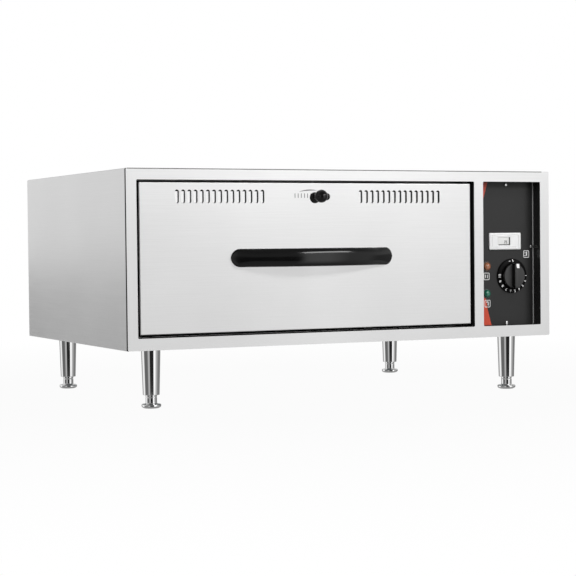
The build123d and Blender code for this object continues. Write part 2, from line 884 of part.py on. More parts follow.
def handle_screws():
    """Two screws from inside the skin into the handle's feet."""
    screws = []
    for x in handle_screw_places():
        shank = rod_y(x, handle_z, skin_y - handle_screw_depth, skin_back_y,
                      handle_screw_radius)
        head = rod_y(x, handle_z, skin_back_y, skin_back_y + handle_screw_head,
                     handle_screw_head_radius)
        screws.append(shank + head)
    return screws


def slider_span():
    """X and Z span of the vent slider plate."""
    places = vent_places()
    reach = vent_pitch / 2 + slider_margin
    half = vent_height / 2 + slider_margin
    return places[0] - reach, places[-1] + reach, vent_z - half, vent_z + half


def slider_y():
    """Front face of the vent slider plate."""
    return skin_back_y + slider_skin_gap


def vent_slider():
    """Plate behind the skin whose bars cover the vents until it is moved half a pitch."""
    x0, x1, z0, z1 = slider_span()
    y0 = slider_y()
    plate = block(x0, x1, y0, y0 + slider_sheet, z0, z1)
    for start in vent_group_starts:
        for number in range(vents_per_group + 1):
            x = start + (number - 0.5) * vent_pitch
            plate -= slot_y(x, vent_z, y0, y0 + slider_sheet, vent_height, slider_slot_width, 90)
    return plate - rod_y(vent_knob_x, vent_z, y0, y0 + slider_sheet, vent_stem_radius)


def vent_knob():
    """Ball knob with its collar in front of the skin and its stem through the slider."""
    x = vent_knob_x
    ball_y = skin_y - vent_knob_reach
    back = slider_y() + slider_sheet
    knob = Pos(x, ball_y, vent_z) * Sphere(vent_knob_radius)
    knob += rod_y(x, vent_z, ball_y, back + vent_stem_head, vent_stem_radius)
    collar_back = skin_y - moving_gap
    knob += rod_y(x, vent_z - vent_collar_drop, collar_back - vent_collar, collar_back,
                  vent_collar_radius)
    knob += rod_y(x, vent_z, back, back + vent_stem_head, vent_stem_head_radius)
    return knob


def guide_spans():
    """Z spans of the lower and the upper slider guide."""
    x0, x1, z0, z1 = slider_span()
    low_top = z0 + guide_bite
    high_bottom = z1 - guide_bite
    return (low_top - guide_height, low_top), (high_bottom, high_bottom + guide_height)


def vent_guides():
    """Two grooved rails on the back of the skin that carry the vent slider."""
    x0, x1, z0, z1 = slider_span()
    y0 = slider_y()
    groove = block(x0 - guide_overrun, x1 + guide_overrun + vent_pitch, y0 - guide_play,
                   y0 + slider_sheet + guide_play, z0 - guide_play, z1 + guide_play)
    rails = []
    for low, high in guide_spans():
        rail = block(x0 - guide_overrun, x1 + guide_overrun, skin_back_y,
                     skin_back_y + guide_thickness, low, high)
        rails.append(rail - groove)
    return rails


def pan_rack():
    """Frame on the drawer front that hangs the pan by its rim between the slides."""
    s = rack_sheet
    x0 = cavity_left + slide_thickness
    x1 = cavity_right - slide_thickness
    rim_rear = pan_front_y + pan_rim_depth
    ledge_left = cavity_left + rack_wall_gap
    ledge_right = cavity_right - rack_wall_gap
    rear_y1 = rim_rear + pan_front_gap
    side_bottom = slide_z - slide_height / 2 + rack_side_edge
    rack = block(ledge_left, ledge_right, cover_y, rear_y1, ledge_z - s, ledge_z)
    front_edge = pan_front_y + pan_rim - rack_body_gap
    rear_edge = rim_rear - pan_rim + rack_body_gap
    rack -= block(x0 + s, x1 - s, front_edge, rear_edge, ledge_z - s, ledge_z)
    for x in (x0, x1 - s):
        rack += block(x, x + s, cover_y, cover_y + slide_length, side_bottom, ledge_z)
    rack += block(x0, x1, cover_y, cover_y + s, ledge_z - rack_cross_height, ledge_z)
    rack += block(x0, x1, rear_y1 - s, rear_y1, ledge_z - rack_rear_height, ledge_z)
    return rack


def food_pan():
    """Full-size food pan with a flat rim, drawn-in sides and round corners."""
    s = pan_sheet
    top = Pos(pan_center_x, pan_center_y, ledge_z + s)
    body = extrude(RectangleRounded(pan_body_width, pan_body_depth, pan_corner_radius),
                   -pan_depth, taper=pan_draft)
    body = fillet(body.faces().sort_by(Axis.Z)[0].edges(), pan_bottom_radius)
    inside = extrude(RectangleRounded(pan_body_width - 2 * s, pan_body_depth - 2 * s,
                                      pan_corner_radius - s), s - pan_depth, taper=pan_draft)
    inside = fillet(inside.faces().sort_by(Axis.Z)[0].edges(), pan_bottom_radius - s)
    rim = extrude(RectangleRounded(pan_rim_width, pan_rim_depth, pan_corner_radius), -s)
    return top * (rim + body - inside)


def control_recess():
    """Black box behind the control opening, with a front lip and a flange for the panel."""
    s = shell_sheet
    y0 = front_y + s
    box = rounded_block(control_left - s, control_right + s, y0, panel_back_y + s,
                        open_bottom - s, open_top + s, opening_corner_radius + s)
    lip = block(control_left - recess_lip, control_right + recess_lip, y0, y0 + s,
                open_bottom - recess_lip, open_top + recess_lip)
    box += lip
    box -= rounded_block(control_left, control_right, y0, panel_back_y,
                         open_bottom, open_top, opening_corner_radius)
    box -= block(control_left + recess_flange, control_right - recess_flange,
                 panel_back_y, panel_back_y + s,
                 open_bottom + recess_flange, open_top - recess_flange)
    for x, z in panel_screw_places():
        box -= rod_y(x, z, panel_back_y, panel_back_y + s, panel_screw_radius)
    return box


def panel_screw_places():
    """Centres of the four panel screws: top, bottom, left and right."""
    x = control_left + panel_screw_across
    z = open_bottom + panel_screw_up
    return [
        (x, open_top - panel_screw_inset),
        (x, open_bottom + panel_screw_inset),
        (control_left + panel_screw_inset, z),
        (control_right - panel_screw_inset, z),
    ]


def control_panel():
    """Flat black panel at the back of the recess."""
    plate = rounded_block(control_left + panel_gap, control_right - panel_gap,
                          panel_y, panel_back_y,
                          open_bottom + panel_gap, open_top - panel_gap, opening_corner_radius)
    for x, z in panel_screw_places():
        plate -= rod_y(x, z, panel_y, panel_back_y, panel_screw_radius)
    plate -= rod_y(dial_x, dial_z, panel_y, panel_back_y, bush_radius)
    for z in (lamp_orange_z, lamp_green_z):
        plate -= rod_y(lamp_x, z, panel_y, panel_back_y, lamp_stem_radius)
    half_width = thermometer_width / 2 - thermometer_neck_inset
    half_height = thermometer_height / 2 - thermometer_neck_inset
    plate -= block(thermometer_x - half_width, thermometer_x + half_width, panel_y, panel_back_y,
                   thermometer_z - half_height, thermometer_z + half_height)
    return plate


def panel_screws():
    """Pan-head screws that hold the panel to the recess flange."""
    screws = []
    for x, z in panel_screw_places():
        head = rod_y(x, z, panel_y - panel_screw_head, panel_y, panel_screw_head_radius)
        head = fillet(head.edges().group_by(Axis.Y)[0], panel_screw_head / 2)
        screws.append(head + rod_y(x, z, panel_y, panel_y + panel_screw_length,
                                   panel_screw_radius))
    return screws


def thermostat_body():
    """Thermostat case behind the panel with its bush through the panel."""
    half = thermostat_width / 2
    tall = thermostat_height / 2
    case = block(dial_x - half, dial_x + half, panel_back_y, thermostat_back_y,
                 dial_z - tall, dial_z + tall)
    case += rod_y(dial_x, dial_z, panel_y - bush_reach, panel_back_y, bush_radius)
    return case - rod_y(dial_x, dial_z, panel_y - bush_reach, panel_back_y + spindle_in_body,
                        spindle_radius + spindle_play)


def thermostat_spindle():
    """Round spindle from the thermostat to the knob."""
    return rod_y(dial_x, dial_z, knob_front_y() + knob_grip_height / 2,
                 panel_back_y + spindle_in_body - moving_gap, spindle_radius)


def thermostat_dial():
    """Fixed numbered ring on the panel round the knob."""
    ring = rod_y(dial_x, dial_z, panel_y - dial_thickness, panel_y, dial_radius)
    ring = chamfer(ring.edges().group_by(Axis.Y)[0], dial_chamfer)
    return ring - rod_y(dial_x, dial_z, panel_y - dial_thickness, panel_y, dial_bore_radius)


def knob_front_y():
    """Front face of the knob's grip."""
    return panel_y - dial_thickness - moving_gap - knob_disc - knob_grip_height


def thermostat_knob():
    """Turning knob: a disc with a straight grip across it."""
    back = panel_y - dial_thickness - moving_gap
    disc = rod_y(dial_x, dial_z, back - knob_disc, back, knob_radius)
    half = knob_grip_width / 2
    front = knob_front_y()
    grip = block(dial_x - half, dial_x + half, front, back,
                 dial_z - knob_radius, dial_z + knob_radius)
    grip &= rod_y(dial_x, dial_z, front, back, knob_radius)
    knob = disc + grip
    knob = fillet(knob.edges().group_by(Axis.Y)[0], knob_edge_radius)
    return knob - rod_y(dial_x, dial_z, front + knob_grip_height / 2, back, spindle_radius)


def lamp_lens(z):
    """Domed lens on the panel with a stem into the lamp body."""
    dome = Sphere(lamp_lens_radius) & rod_y(0, 0, -lamp_lens_radius, 0, lamp_lens_radius)
    dome = scale(dome, (1, lamp_lens_height / lamp_lens_radius, 1))
    return Pos(lamp_x, panel_y, z) * dome + rod_y(lamp_x, z, panel_y, panel_back_y, lamp_stem_radius)


def lamp_bodies():
    """Round lamp holders behind the panel, one for each lens."""
    return [rod_y(lamp_x, z, panel_back_y, panel_back_y + lamp_body_length, lamp_body_radius)
            for z in (lamp_orange_z, lamp_green_z)]


def display_span():
    """X and Z span of the thermometer's display."""
    x = thermometer_x - display_offset
    return (x - display_width / 2, x + display_width / 2,
            thermometer_z - display_height / 2, thermometer_z + display_height / 2)


def thermometer_case():
    """White case with a lip on the panel, a body through it and a sunk display seat."""
    half_width = thermometer_width / 2
    half_height = thermometer_height / 2
    lip = block(thermometer_x - half_width, thermometer_x + half_width,
                panel_y - thermometer_lip, panel_y,
                thermometer_z - half_height, thermometer_z + half_height)
    lip = fillet(lip.faces().sort_by(Axis.Y)[0].edges(), thermometer_lip / 4)
    inset = thermometer_neck_inset
    body = block(thermometer_x - half_width + inset, thermometer_x + half_width - inset,
                 panel_y, panel_y + thermometer_body_depth,
                 thermometer_z - half_height + inset, thermometer_z + half_height - inset)
    x0, x1, z0, z1 = display_span()
    face = panel_y - thermometer_lip
    seat = block(x0, x1, face, face + display_recess + display_sheet, z0, z1)
    return lip + body - seat


def thermometer_window():
    """Display plate at the bottom of its seat."""
    x0, x1, z0, z1 = display_span()
    y0 = panel_y - thermometer_lip + display_recess
    return block(x0, x1, y0, y0 + display_sheet, z0, z1)


def bulb_and_capillary():
    """Sensing bulb on the cavity wall with its fine tube to the back of the thermostat."""
    bulb = rod_y(bulb_x, bulb_z, bulb_y, bulb_y + bulb_length, bulb_radius)
    bay_x = bay_left + capillary_bay_reach
    end_x = dial_x - thermostat_width / 4
    low_z = dial_z - thermostat_height / 4
    lead_y = thermostat_back_y + capillary_y - bulb_y - bulb_length
    route = [
        (bulb_x, bulb_y + bulb_length, bulb_z),
        (bulb_x, capillary_y, bulb_z),
        (bay_x, capillary_y, bulb_z),
        (bay_x, lead_y, low_z),
        (end_x, lead_y, low_z),
        (end_x, thermostat_back_y, low_z),
    ]
    return bulb + tube(route, capillary_radius, capillary_bend)


def bulb_clips():
    """Two clips that hold the bulb on the cavity's right wall."""
    clips = []
    reach = bulb_radius + clip_wall
    for y in (bulb_y + bulb_clip_inset, bulb_y + bulb_length - bulb_clip_inset):
        y0 = y - clip_width / 2
        y1 = y + clip_width / 2
        clip = block(bulb_x, cavity_right, y0, y1, bulb_z - reach, bulb_z + reach)
        clip += rod_y(bulb_x, bulb_z, y0, y1, reach)
        clips.append(clip - rod_y(bulb_x, bulb_z, y0, y1, bulb_radius))
    return clips


def terminal_block():
    """Terminal block on the floor plate of the control bay."""
    half = terminal_block_width / 2
    rail = block(terminal_x - half, terminal_x + half, terminal_y,
                 terminal_y + terminal_block_depth, base_top, base_top + terminal_block_height)
    return chamfer(rail.faces().sort_by(Axis.Z)[-1].edges().filter_by(Axis.X),
                   terminal_block_height / 5)


def wiring():
    """Five wires between the element's pins, the lamps, the thermostat and the terminals."""
    lane = terminal_block_width / 6
    block_back = terminal_y + terminal_block_depth
    lamp_back = panel_back_y + lamp_body_length
    lift = thermostat_height / 4
    pin_x = element_pin_x
    right = dial_x + thermostat_width / 4
    left = dial_x - thermostat_width / 8
    routes = [
        [(pin_x, element_front_y, element_z), (left, element_front_y, element_z),
         (left, element_front_y, dial_z + lift), (left, thermostat_back_y, dial_z + lift)],
        [(pin_x, element_rear_y, element_z), (terminal_x, element_rear_y, element_z),
         (terminal_x, element_rear_y, terminal_z), (terminal_x, block_back, terminal_z)],
        [(terminal_x + 2 * lane, terminal_y, terminal_z),
         (terminal_x + 2 * lane, terminal_y - 3 * lane, terminal_z),
         (right, terminal_y - 7 * lane, dial_z), (right, thermostat_back_y, dial_z)],
        [(lamp_x, lamp_back, lamp_orange_z), (lamp_x, terminal_y - 3 * lane, lamp_orange_z),
         (lamp_x, terminal_y - 3 * lane, terminal_z),
         (terminal_x - 2 * lane, terminal_y - 3 * lane, terminal_z),
         (terminal_x - 2 * lane, terminal_y, terminal_z)],
        [(lamp_x, lamp_back, lamp_green_z), (lamp_x, terminal_y - 6 * lane, lamp_green_z),
         (lamp_x, terminal_y - 6 * lane, terminal_z),
         (terminal_x, terminal_y - 6 * lane, terminal_z), (terminal_x, terminal_y, terminal_z)],
    ]
    return [tube(route, wire_radius, wire_bend) for route in routes]


def all_nodes():
    """Every sub-part by its node name."""
    nodes = {
        "front_frame": front_frame(),
        "outer_wrap": outer_wrap(),
        "base_pan": base_pan(),
        "rear_panel": rear_panel(),
        "rear_panel_screws": rear_panel_screws(),
        "cable_gland": cable_gland(),
        "cavity_liner": cavity_liner(),
        "partition_panel": partition_panel(),
        "insulation_blanket": insulation_blanket(),
        "insulation_bottom": insulation_bottom(),
        "insulation_rear": insulation_rear(),
        "heating_element": heating_element(),
        "element_clips": element_clips(),
        "heat_deflector": heat_deflector(),
        "leg_plates": leg_plates(),
        "drawer_front_skin": drawer_front_skin(),
        "drawer_front_inner": drawer_front_inner(),
        "drawer_insulation": drawer_insulation(),
        "drawer_gasket": drawer_gasket(),
        "handle": handle(),
        "handle_screws": handle_screws(),
        "vent_slider": vent_slider(),
        "vent_knob": vent_knob(),
        "vent_guides": vent_guides(),
        "pan_rack": pan_rack(),
        "food_pan": food_pan(),
        "control_recess": control_recess(),
        "control_panel": control_panel(),
        "panel_screws": panel_screws(),
        "thermostat_body": thermostat_body(),
        "thermostat_spindle": thermostat_spindle(),
        "thermostat_dial": thermostat_dial(),
        "thermostat_knob": thermostat_knob(),
        "thermostat_capillary": bulb_and_capillary(),
        "bulb_clips": bulb_clips(),
        "lamp_bodies": lamp_bodies(),
        "lamp_lens_orange": lamp_lens(lamp_orange_z),
        "lamp_lens_green": lamp_lens(lamp_green_z),
        "thermometer_case": thermometer_case(),
        "thermometer_window": thermometer_window(),
        "terminal_block": terminal_block(),
        "wiring": wiring(),
        "slide_cages_outer_stage": ball_cages(outer_cage_t, outer_ball_t, outer_ball_height),
        "slide_cages_inner_stage": ball_cages(inner_cage_t, inner_ball_t, inner_ball_height),
        "slide_balls_outer_stage": balls(outer_ball_t, outer_ball_height),
        "slide_balls_inner_stage": balls(inner_ball_t, inner_ball_height),
    }
    for side in ("left", "right"):
        nodes["slide_outer_" + side] = slide_outer(side)
        nodes["slide_middle_" + side] = slide_middle(side)
        nodes["slide_inner_" + side] = slide_inner(side)
    for name, (x, y) in leg_places().items():
        nodes["leg_" + name] = leg(x, y)
        nodes["foot_" + name] = foot(x, y)
    return nodes


os.makedirs("parts", exist_ok=True)
for node_name, shape in all_nodes().items():
    if isinstance(shape, list):
        shape = Compound(children=shape)
    export_step(shape, "parts/" + node_name + ".step")
print("whole height", top_z, "front", round(front_y, 3), "rear", round(rear_y, 3))
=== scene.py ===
"""Visible surfaces, finishes and studio of a free-standing warming drawer, built round its CAD frame."""
import json
import math

import bmesh
import bpy
import numpy as np
from mathutils import Matrix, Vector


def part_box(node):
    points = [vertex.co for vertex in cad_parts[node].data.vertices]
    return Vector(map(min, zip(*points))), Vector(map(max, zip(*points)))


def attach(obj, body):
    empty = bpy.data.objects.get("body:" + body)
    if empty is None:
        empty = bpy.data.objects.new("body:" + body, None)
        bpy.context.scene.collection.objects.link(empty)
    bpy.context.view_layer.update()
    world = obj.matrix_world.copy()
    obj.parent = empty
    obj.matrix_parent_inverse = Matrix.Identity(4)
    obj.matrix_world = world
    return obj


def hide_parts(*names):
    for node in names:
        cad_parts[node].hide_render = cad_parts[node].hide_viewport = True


bl_info = {
    "name": "Warming drawer looks",
    "version": (1, 0, 0),
    "blender": (4, 5, 0),
    "location": "View3D > Sidebar > Warming drawer",
    "description": "Builds the visible surfaces, finishes and studio of a warming drawer",
    "category": "Object",
}

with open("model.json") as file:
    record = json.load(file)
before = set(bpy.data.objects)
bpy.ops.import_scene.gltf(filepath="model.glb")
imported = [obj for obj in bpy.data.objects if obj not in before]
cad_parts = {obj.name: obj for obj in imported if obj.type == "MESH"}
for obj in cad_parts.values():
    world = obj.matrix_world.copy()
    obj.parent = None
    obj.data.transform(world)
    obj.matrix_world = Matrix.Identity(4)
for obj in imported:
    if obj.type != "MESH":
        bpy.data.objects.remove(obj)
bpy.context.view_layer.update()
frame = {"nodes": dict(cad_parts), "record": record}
MM = 0.001

# The camera's focal length and picture width in pixels, and its sensor in millimetres
FOCAL_PIXELS = 1681.5
PICTURE_PIXELS = 576
SENSOR_WIDTH = 36

# Directions of a flat drawing: to its right, up, and out of it
FACINGS = {
    "front": ((1, 0, 0), (0, 0, 1), (0, -1, 0)),
    "rear": ((-1, 0, 0), (0, 0, 1), (0, 1, 0)),
    "rear_plain": ((1, 0, 0), (0, 0, 1), (0, 1, 0)),
    "up": ((1, 0, 0), (0, 1, 0), (0, 0, 1)),
}


def linear(hex_colour):
    """An sRGB hex colour as linear red, green, blue and alpha."""
    values = np.array([int(hex_colour[i:i + 2], 16) / 255 for i in (1, 3, 5)])
    bright = ((values + 0.055) / 1.055) ** 2.4
    return (*np.where(values <= 0.04045, values / 12.92, bright), 1.0)


def swatch(name, description, hex_colour):
    """A colour that a user may change, from its sRGB hex value."""
    return bpy.props.FloatVectorProperty(name=name, description=description, subtype="COLOR",
                                         size=4, min=0, max=1, default=linear(hex_colour))


def length(name, description, millimetres):
    """A length that a user may change, given in millimetres and shown in scene units."""
    return bpy.props.FloatProperty(name=name, description=description, unit="LENGTH",
                                   default=millimetres * MM)


def triple(name, description, subtype, unit, default):
    """Three numbers that a user may change."""
    return bpy.props.FloatVectorProperty(name=name, description=description, subtype=subtype,
                                         unit=unit, default=default)


class WarmingDrawerSizes(bpy.types.PropertyGroup):
    """Sizes of the modelled surfaces that the CAD frame doesn't fix"""
    handle_thickness: length("Handle thickness", "Depth of the bow at its middle", 13)
    handle_foot: length("Handle foot", "Length of each flat foot of the bow", 32)
    handle_tip: length("Handle tip", "Depth of the bow at its ends", 3)
    grip_width: length("Grip width", "Width of the thermostat knob's bar", 10)
    pointer_length: length("Pointer length", "White mark on the thermostat knob", 7)
    digit_height: length("Digit height", "Height of the dial's numbers", 4.6)
    rim_roll: length("Pan rim roll", "Radius of the rolled edge of the food pan", 2)
    floor_radius: length("Floor radius", "Radius of the pale floor", 1700)
    camera_lens: bpy.props.FloatProperty(name="Camera lens", description="Focal length", unit="CAMERA",
                                         default=SENSOR_WIDTH * FOCAL_PIXELS / PICTURE_PIXELS)
    camera_place: triple("Camera place", "Where it stands", "XYZ", "LENGTH", (-1.2150, -2.5684, 0.2516))
    camera_turn: triple("Camera turn", "Yaw to the right, pitch up and roll", "EULER", "ROTATION",
                        np.radians((25.39, -1.636, -0.59)).tolist())


class WarmingDrawerColours(bpy.types.PropertyGroup):
    """Colours of the finishes that show"""
    wrap_steel: swatch("Wrap steel", "Satin stainless of the sides, top and back", "#e2e2e2")
    front_steel: swatch("Front steel", "Fine satin stainless of the front", "#e8e8e8")
    inner_steel: swatch("Inner steel", "Mill finish stainless of the cavity", "#c8c8c8")
    chrome: swatch("Chrome", "Polished legs and screws", "#ececec")
    panel_paint: swatch("Panel paint", "Black semi gloss paint", "#232323")
    black: swatch("Black plastic", "Glossy black mouldings", "#0a0a0a")
    white: swatch("White plastic", "Thermometer case and print", "#f6f6f6")
    display: swatch("Display", "Liquid crystal window", "#e8e8e6")
    # A painted highlight on the corner of the control recess
    edge: swatch("Edge", "Corner of the control recess", "#a8a8a8")
    orange: swatch("Orange lens", "Heating lamp", "#c8845c")
    green: swatch("Green lens", "Power lamp", "#1c8468")
    stripe: swatch("Stripe", "Orange-red corner stripes on the panel", "#d64a2c")
    mark: swatch("Mark", "Grey etched mark on the drawer front", "#787878")
    wool: swatch("Mineral wool", "Insulation", "#cbb975")
    silicone: swatch("Silicone", "Door seal", "#56575a")


def sizes():
    return bpy.context.scene.warming_drawer_sizes


# Materials

def add_node(tree, kind, inputs=None, **settings):
    """Add one node, apply its settings, and set or link its inputs; a node given links its live output."""
    made = tree.nodes.new("ShaderNode" + kind)
    for name, value in settings.items():
        setattr(made, name, value)
    for name, value in (inputs or {}).items():
        if isinstance(value, bpy.types.Node):
            value = next(socket for socket in value.outputs if socket.enabled)
        if isinstance(value, bpy.types.NodeSocket):
            tree.links.new(value, made.inputs[name])
        else:
            made.inputs[name].default_value = value
    return made


def new_material(name):
    """An empty node material and its tree."""
    material = bpy.data.materials.new(name)
    material.use_nodes = True
    material.node_tree.nodes.clear()
    return material, material.node_tree


def shade(material, sockets):
    """Close a material with a Principled shader."""
    shader = add_node(material.node_tree, "BsdfPrincipled", sockets)
    add_node(material.node_tree, "OutputMaterial", {"Surface": shader})
    return material


def noise_field(tree, feature, detail=2.0, roughness=0.5):
    """Noise on object coordinates, spread over 0 to 1.

    Its features measure so many millimetres, or (x, y, z) millimetres.
    """
    place = add_node(tree, "TexCoord")
    scaled = add_node(tree, "Mapping", {
        "Vector": place.outputs["Object"], "Scale": [1 / (v * MM) for v in np.broadcast_to(feature, 3)],
    })
    noise = add_node(tree, "TexNoise", {
        "Vector": scaled, "Scale": 1.0, "Detail": detail, "Roughness": roughness,
    })
    return add_node(tree, "MapRange", {"Value": noise, "From Min": 0.3, "From Max": 0.7})


def darker(colour, share):
    """A linear colour times a share, opaque."""
    return (*[v * share for v in colour[:3]], 1.0)


def satin_sheet(name, colour, lines, roughness, depth):
    """Satin stainless sheet: belt-ground lines run one way, so light smears across them.

    Real scratches are about 0.05 mm apart, too fine to show: these are 0.7 mm and faint.
    Wide clouds of slightly different roughness are the sheet's handling and rolling marks.
    """
    material, tree = new_material(name)
    scratches = noise_field(tree, lines, 3.0, 0.6)
    bump = add_node(tree, "Bump", {"Strength": 0.35, "Distance": depth * MM, "Height": scratches})
    line_rough = add_node(tree, "MapRange", {
        "Value": scratches, "To Min": roughness - 0.07, "To Max": roughness + 0.02,
    })
    rough = add_node(tree, "Math", {0: noise_field(tree, 160), 1: 0.06, 2: line_rough},
                     operation="MULTIPLY_ADD")
    tint = add_node(tree, "Mix", {"Factor": scratches, 6: darker(colour, 0.94), 7: colour},
                    data_type="RGBA")
    return shade(material, {"Base Color": tint, "Metallic": 1.0, "Roughness": rough, "Normal": bump})


def patchy(name, colour, tone, patch, gloss, relief=None, sockets=None, detail=2.0):
    """A surface whose patches differ a little in tint and gloss, with a finer relief.

    tone is the shade of the deepest patch as a share of the colour, patch its size in
    millimetres, gloss the roughness at both ends, relief a (size, depth) in millimetres.
    """
    material, tree = new_material(name)
    patches = noise_field(tree, patch, detail)
    inputs = {"Base Color": colour, **(sockets or {})}
    inputs["Roughness"] = add_node(tree, "MapRange", {
        "Value": patches, "To Min": gloss[0], "To Max": gloss[1],
    })
    if tone != 1:
        inputs["Base Color"] = add_node(tree, "Mix", {
            "Factor": patches, 6: darker(colour, tone), 7: colour,
        }, data_type="RGBA")
    if relief:
        inputs["Normal"] = add_node(tree, "Bump", {
            "Strength": 0.5, "Distance": relief[1] * MM, "Height": noise_field(tree, relief[0]),
        })
    return shade(material, inputs)


def lamp_lens(name, colour):
    """Translucent moulded acrylic that light sinks into; its colour darkens from the crown to the rim as
    painted shade.
    """
    material, tree = new_material(name)
    place = add_node(tree, "TexCoord")
    parts = add_node(tree, "SeparateXYZ", {0: place.outputs["Object"]})
    # Painted shade: the colour darkens with depth from the crown back to the panel
    rim = add_node(tree, "MapRange", {
        "Value": parts.outputs["Y"], "From Min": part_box("lamp_lens_orange")[0][1],
        "From Max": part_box("control_panel")[0][1],
    }, interpolation_type="SMOOTHSTEP")
    rough = add_node(tree, "MapRange", {"Value": noise_field(tree, 3), "To Min": 0.08, "To Max": 0.14})
    tint = add_node(tree, "Mix", {"Factor": rim, 6: colour, 7: darker(colour, 0.12)}, data_type="RGBA")
    return shade(material, {
        "Base Color": tint, "Roughness": rough, "IOR": 1.49, "Transmission Weight": 0.35,
        "Subsurface Weight": 0.2, "Subsurface Scale": 1.5 * MM, "Coat Weight": 1.0,
        "Coat Roughness": 0.06,
    })


def rubber(name, colour, shine=0.5):
    """Extruded silicone: matt, slightly dusty, with a fine drag texture 0.8 mm across."""
    return patchy(name, colour, 1.35, 5, (0.65, 0.5), (0.8, 0.008), {"Specular IOR Level": shine}, 4.0)


def print_ink(name, colour):
    """Screen printed ink: matt, a little thin where the mesh, about 0.9 mm here, left less of it."""
    return patchy(name, colour, 0.85, 0.9, (0.35, 0.45), detail=1.0)


METAL = {"Metallic": 1.0}
FINE_SPARK = (2.5, 0.002)

# Each finish as the function that makes it, the material's name, its colour as a swatch or in hex,
# and the function's other settings: the record's slots, then what only pieces here use
FINISHES = {
    # Belt-ground sheet, lines across the sides and along the front
    "stainless_brushed": (satin_sheet, "satin_stainless_wrap", "wrap_steel", (0.7, 90, 0.7), 0.34, 0.008),
    "stainless_front": (satin_sheet, "satin_stainless_front", "front_steel", (90, 0.7, 0.7), 0.36, 0.006),
    # Cold-rolled mill finish: soft streaks along the coil, no grinding lines
    "stainless_inner": (satin_sheet, "mill_finish_stainless", "inner_steel", (60, 2, 2), 0.30, 0.008),
    # Electroplated zinc: bluish, with soft patches a few millimetres wide
    "zinc_steel": (patchy, "bright_zinc", "#aeb4b6", 0.82, 9, (0.28, 0.42), None, METAL, 3.0),
    # Polished chrome plate: a mirror with faint wipe marks
    "chrome": (patchy, "polished_chrome", "chrome", 1, (6, 6, 30), (0.02, 0.07), None, METAL),
    # Stoved paint: semi-gloss over an orange peel about 1 mm across
    "black_panel": (patchy, "black_semi_gloss_paint", "panel_paint", 0.9, 60, (0.38, 0.46),
                    (1.1, 0.005), {"Specular IOR Level": 0.4}),
    # Phenolic, ABS and nylon mouldings: even, with the skin of a polished tool and handling haze
    "black_plastic": (patchy, "black_phenolic_gloss", "black", 0.92, 22, (0.11, 0.17), FINE_SPARK),
    "black_handle": (patchy, "black_phenolic_handle", "#0f0f0f", 0.92, 22, (0.09, 0.14), FINE_SPARK),
    "white_plastic": (patchy, "white_abs", "white", 0.96, 22, (0.3, 0.36), FINE_SPARK,
                      {"Coat Weight": 0.1, "Coat Roughness": 0.05}),
    "brown_plastic": (patchy, "brown_phenolic", "#3a2a22", 0.92, 22, (0.4, 0.46), FINE_SPARK),
    "grey_nylon": (patchy, "glass_filled_nylon", "#37383a", 0.92, 22, (0.5, 0.56), (0.8, 0.002)),
    # Knob moulded in an etched tool: matt, and a lighter grey than the knob's gloss black sides, as painted
    # light on its front faces
    "knob_lit_face": (patchy, "black_phenolic_matt", "#383838", 0.85, 12, (0.42, 0.5), (0.6, 0.01)),
    # Ring with baked matt ink, which hardly shines
    "black_dial": (patchy, "black_matt_dial", "#0c0c0c", 0.92, 22, (0.4, 0.46), FINE_SPARK,
                   {"Specular IOR Level": 0.08}),
    # Liquid crystal window: glossy film over a flat pale ground
    "display": (patchy, "display_window", "display", 0.96, 22, (0.1, 0.16), None,
                {"Coat Weight": 0.8, "Coat Roughness": 0.05}),
    "lens_orange": (lamp_lens, "orange_acrylic", "orange"),
    "lens_green": (lamp_lens, "green_acrylic", "green"),
    # Needled wool board: dull, matted fibres a few millimetres long and darker hollows
    "mineral_wool": (patchy, "mineral_wool_felt", "wool", 0.6, 14, (0.85, 1.0), ((1.2, 7, 3), 0.86),
                     {"Sheen Weight": 0.2}, 3.0),
    "silicone": (rubber, "silicone_profile", "silicone"),
    "wire_insulation": (rubber, "silicone_sleeve", "#8e2d22"),
    # Heat-tinted alloy tube: mottled brown and grey, dull metal
    "element_sheath": (patchy, "oxidised_alloy_tube", "#44413f", 1.9, 8, (0.6, 0.4), None,
                       {"Metallic": 0.9}, 4.0),
    # Pressed steatite: chalky, with slight speckle
    "white_ceramic": (patchy, "steatite_block", "#ddd6c6", 0.88, 1.5, (0.35, 0.5)),
    # Drawn copper: bright along the draw
    "copper_tube": (patchy, "drawn_copper", "#b8704c", 1, (6, 30, 6), (0.25, 0.3), None, METAL),
    # Matt print and paint, and rubber strips, that show almost no shine; some of the inks and strips are
    # painted shade or a painted highlight
    "white_ink": (print_ink, "white_print", "white"),
    "grey_ink": (print_ink, "etched_grey", "mark"),
    "stripe_ink": (print_ink, "orange_red_print", "stripe"),
    # Dark ink of the marks' grounds, and painted shade along the display's sunk edge
    "dark_ink_and_painted_shade": (print_ink, "dark_recess", "#141414"),
    # Dark grey of the line along the top joint, painted shade of the bend there
    "joint": (print_ink, "dark_sealed_joint", "#5f5f5f"),
    # Light grey of the painted highlight on the recess's corner
    "painted_highlight_ink": (print_ink, "primed_edge", "edge"),
    # Black rubber of the knob's washer, and black strips that are painted shade in the gap round the drawer
    "black_rubber": (rubber, "black_rubber_strip", "#1c1c1c", 0.04),
    # Flat black strips that are painted shade in the gaps, grooves and vents
    "felt": (rubber, "black_felt_strip", "#101010", 0.0),
    # Bright annealed sheet: nearly a mirror
    "bright_sheet": (patchy, "bright_annealed_sheet", "#e4e4e4", 1, (6, 6, 30), (0.12, 0.17), None, METAL),
    # Wet-looking stoved paint of the recess walls
    "gloss_paint": (patchy, "black_gloss_paint", "#262626", 0.9, 60, (0.16, 0.22), (1.4, 0.005)),
}


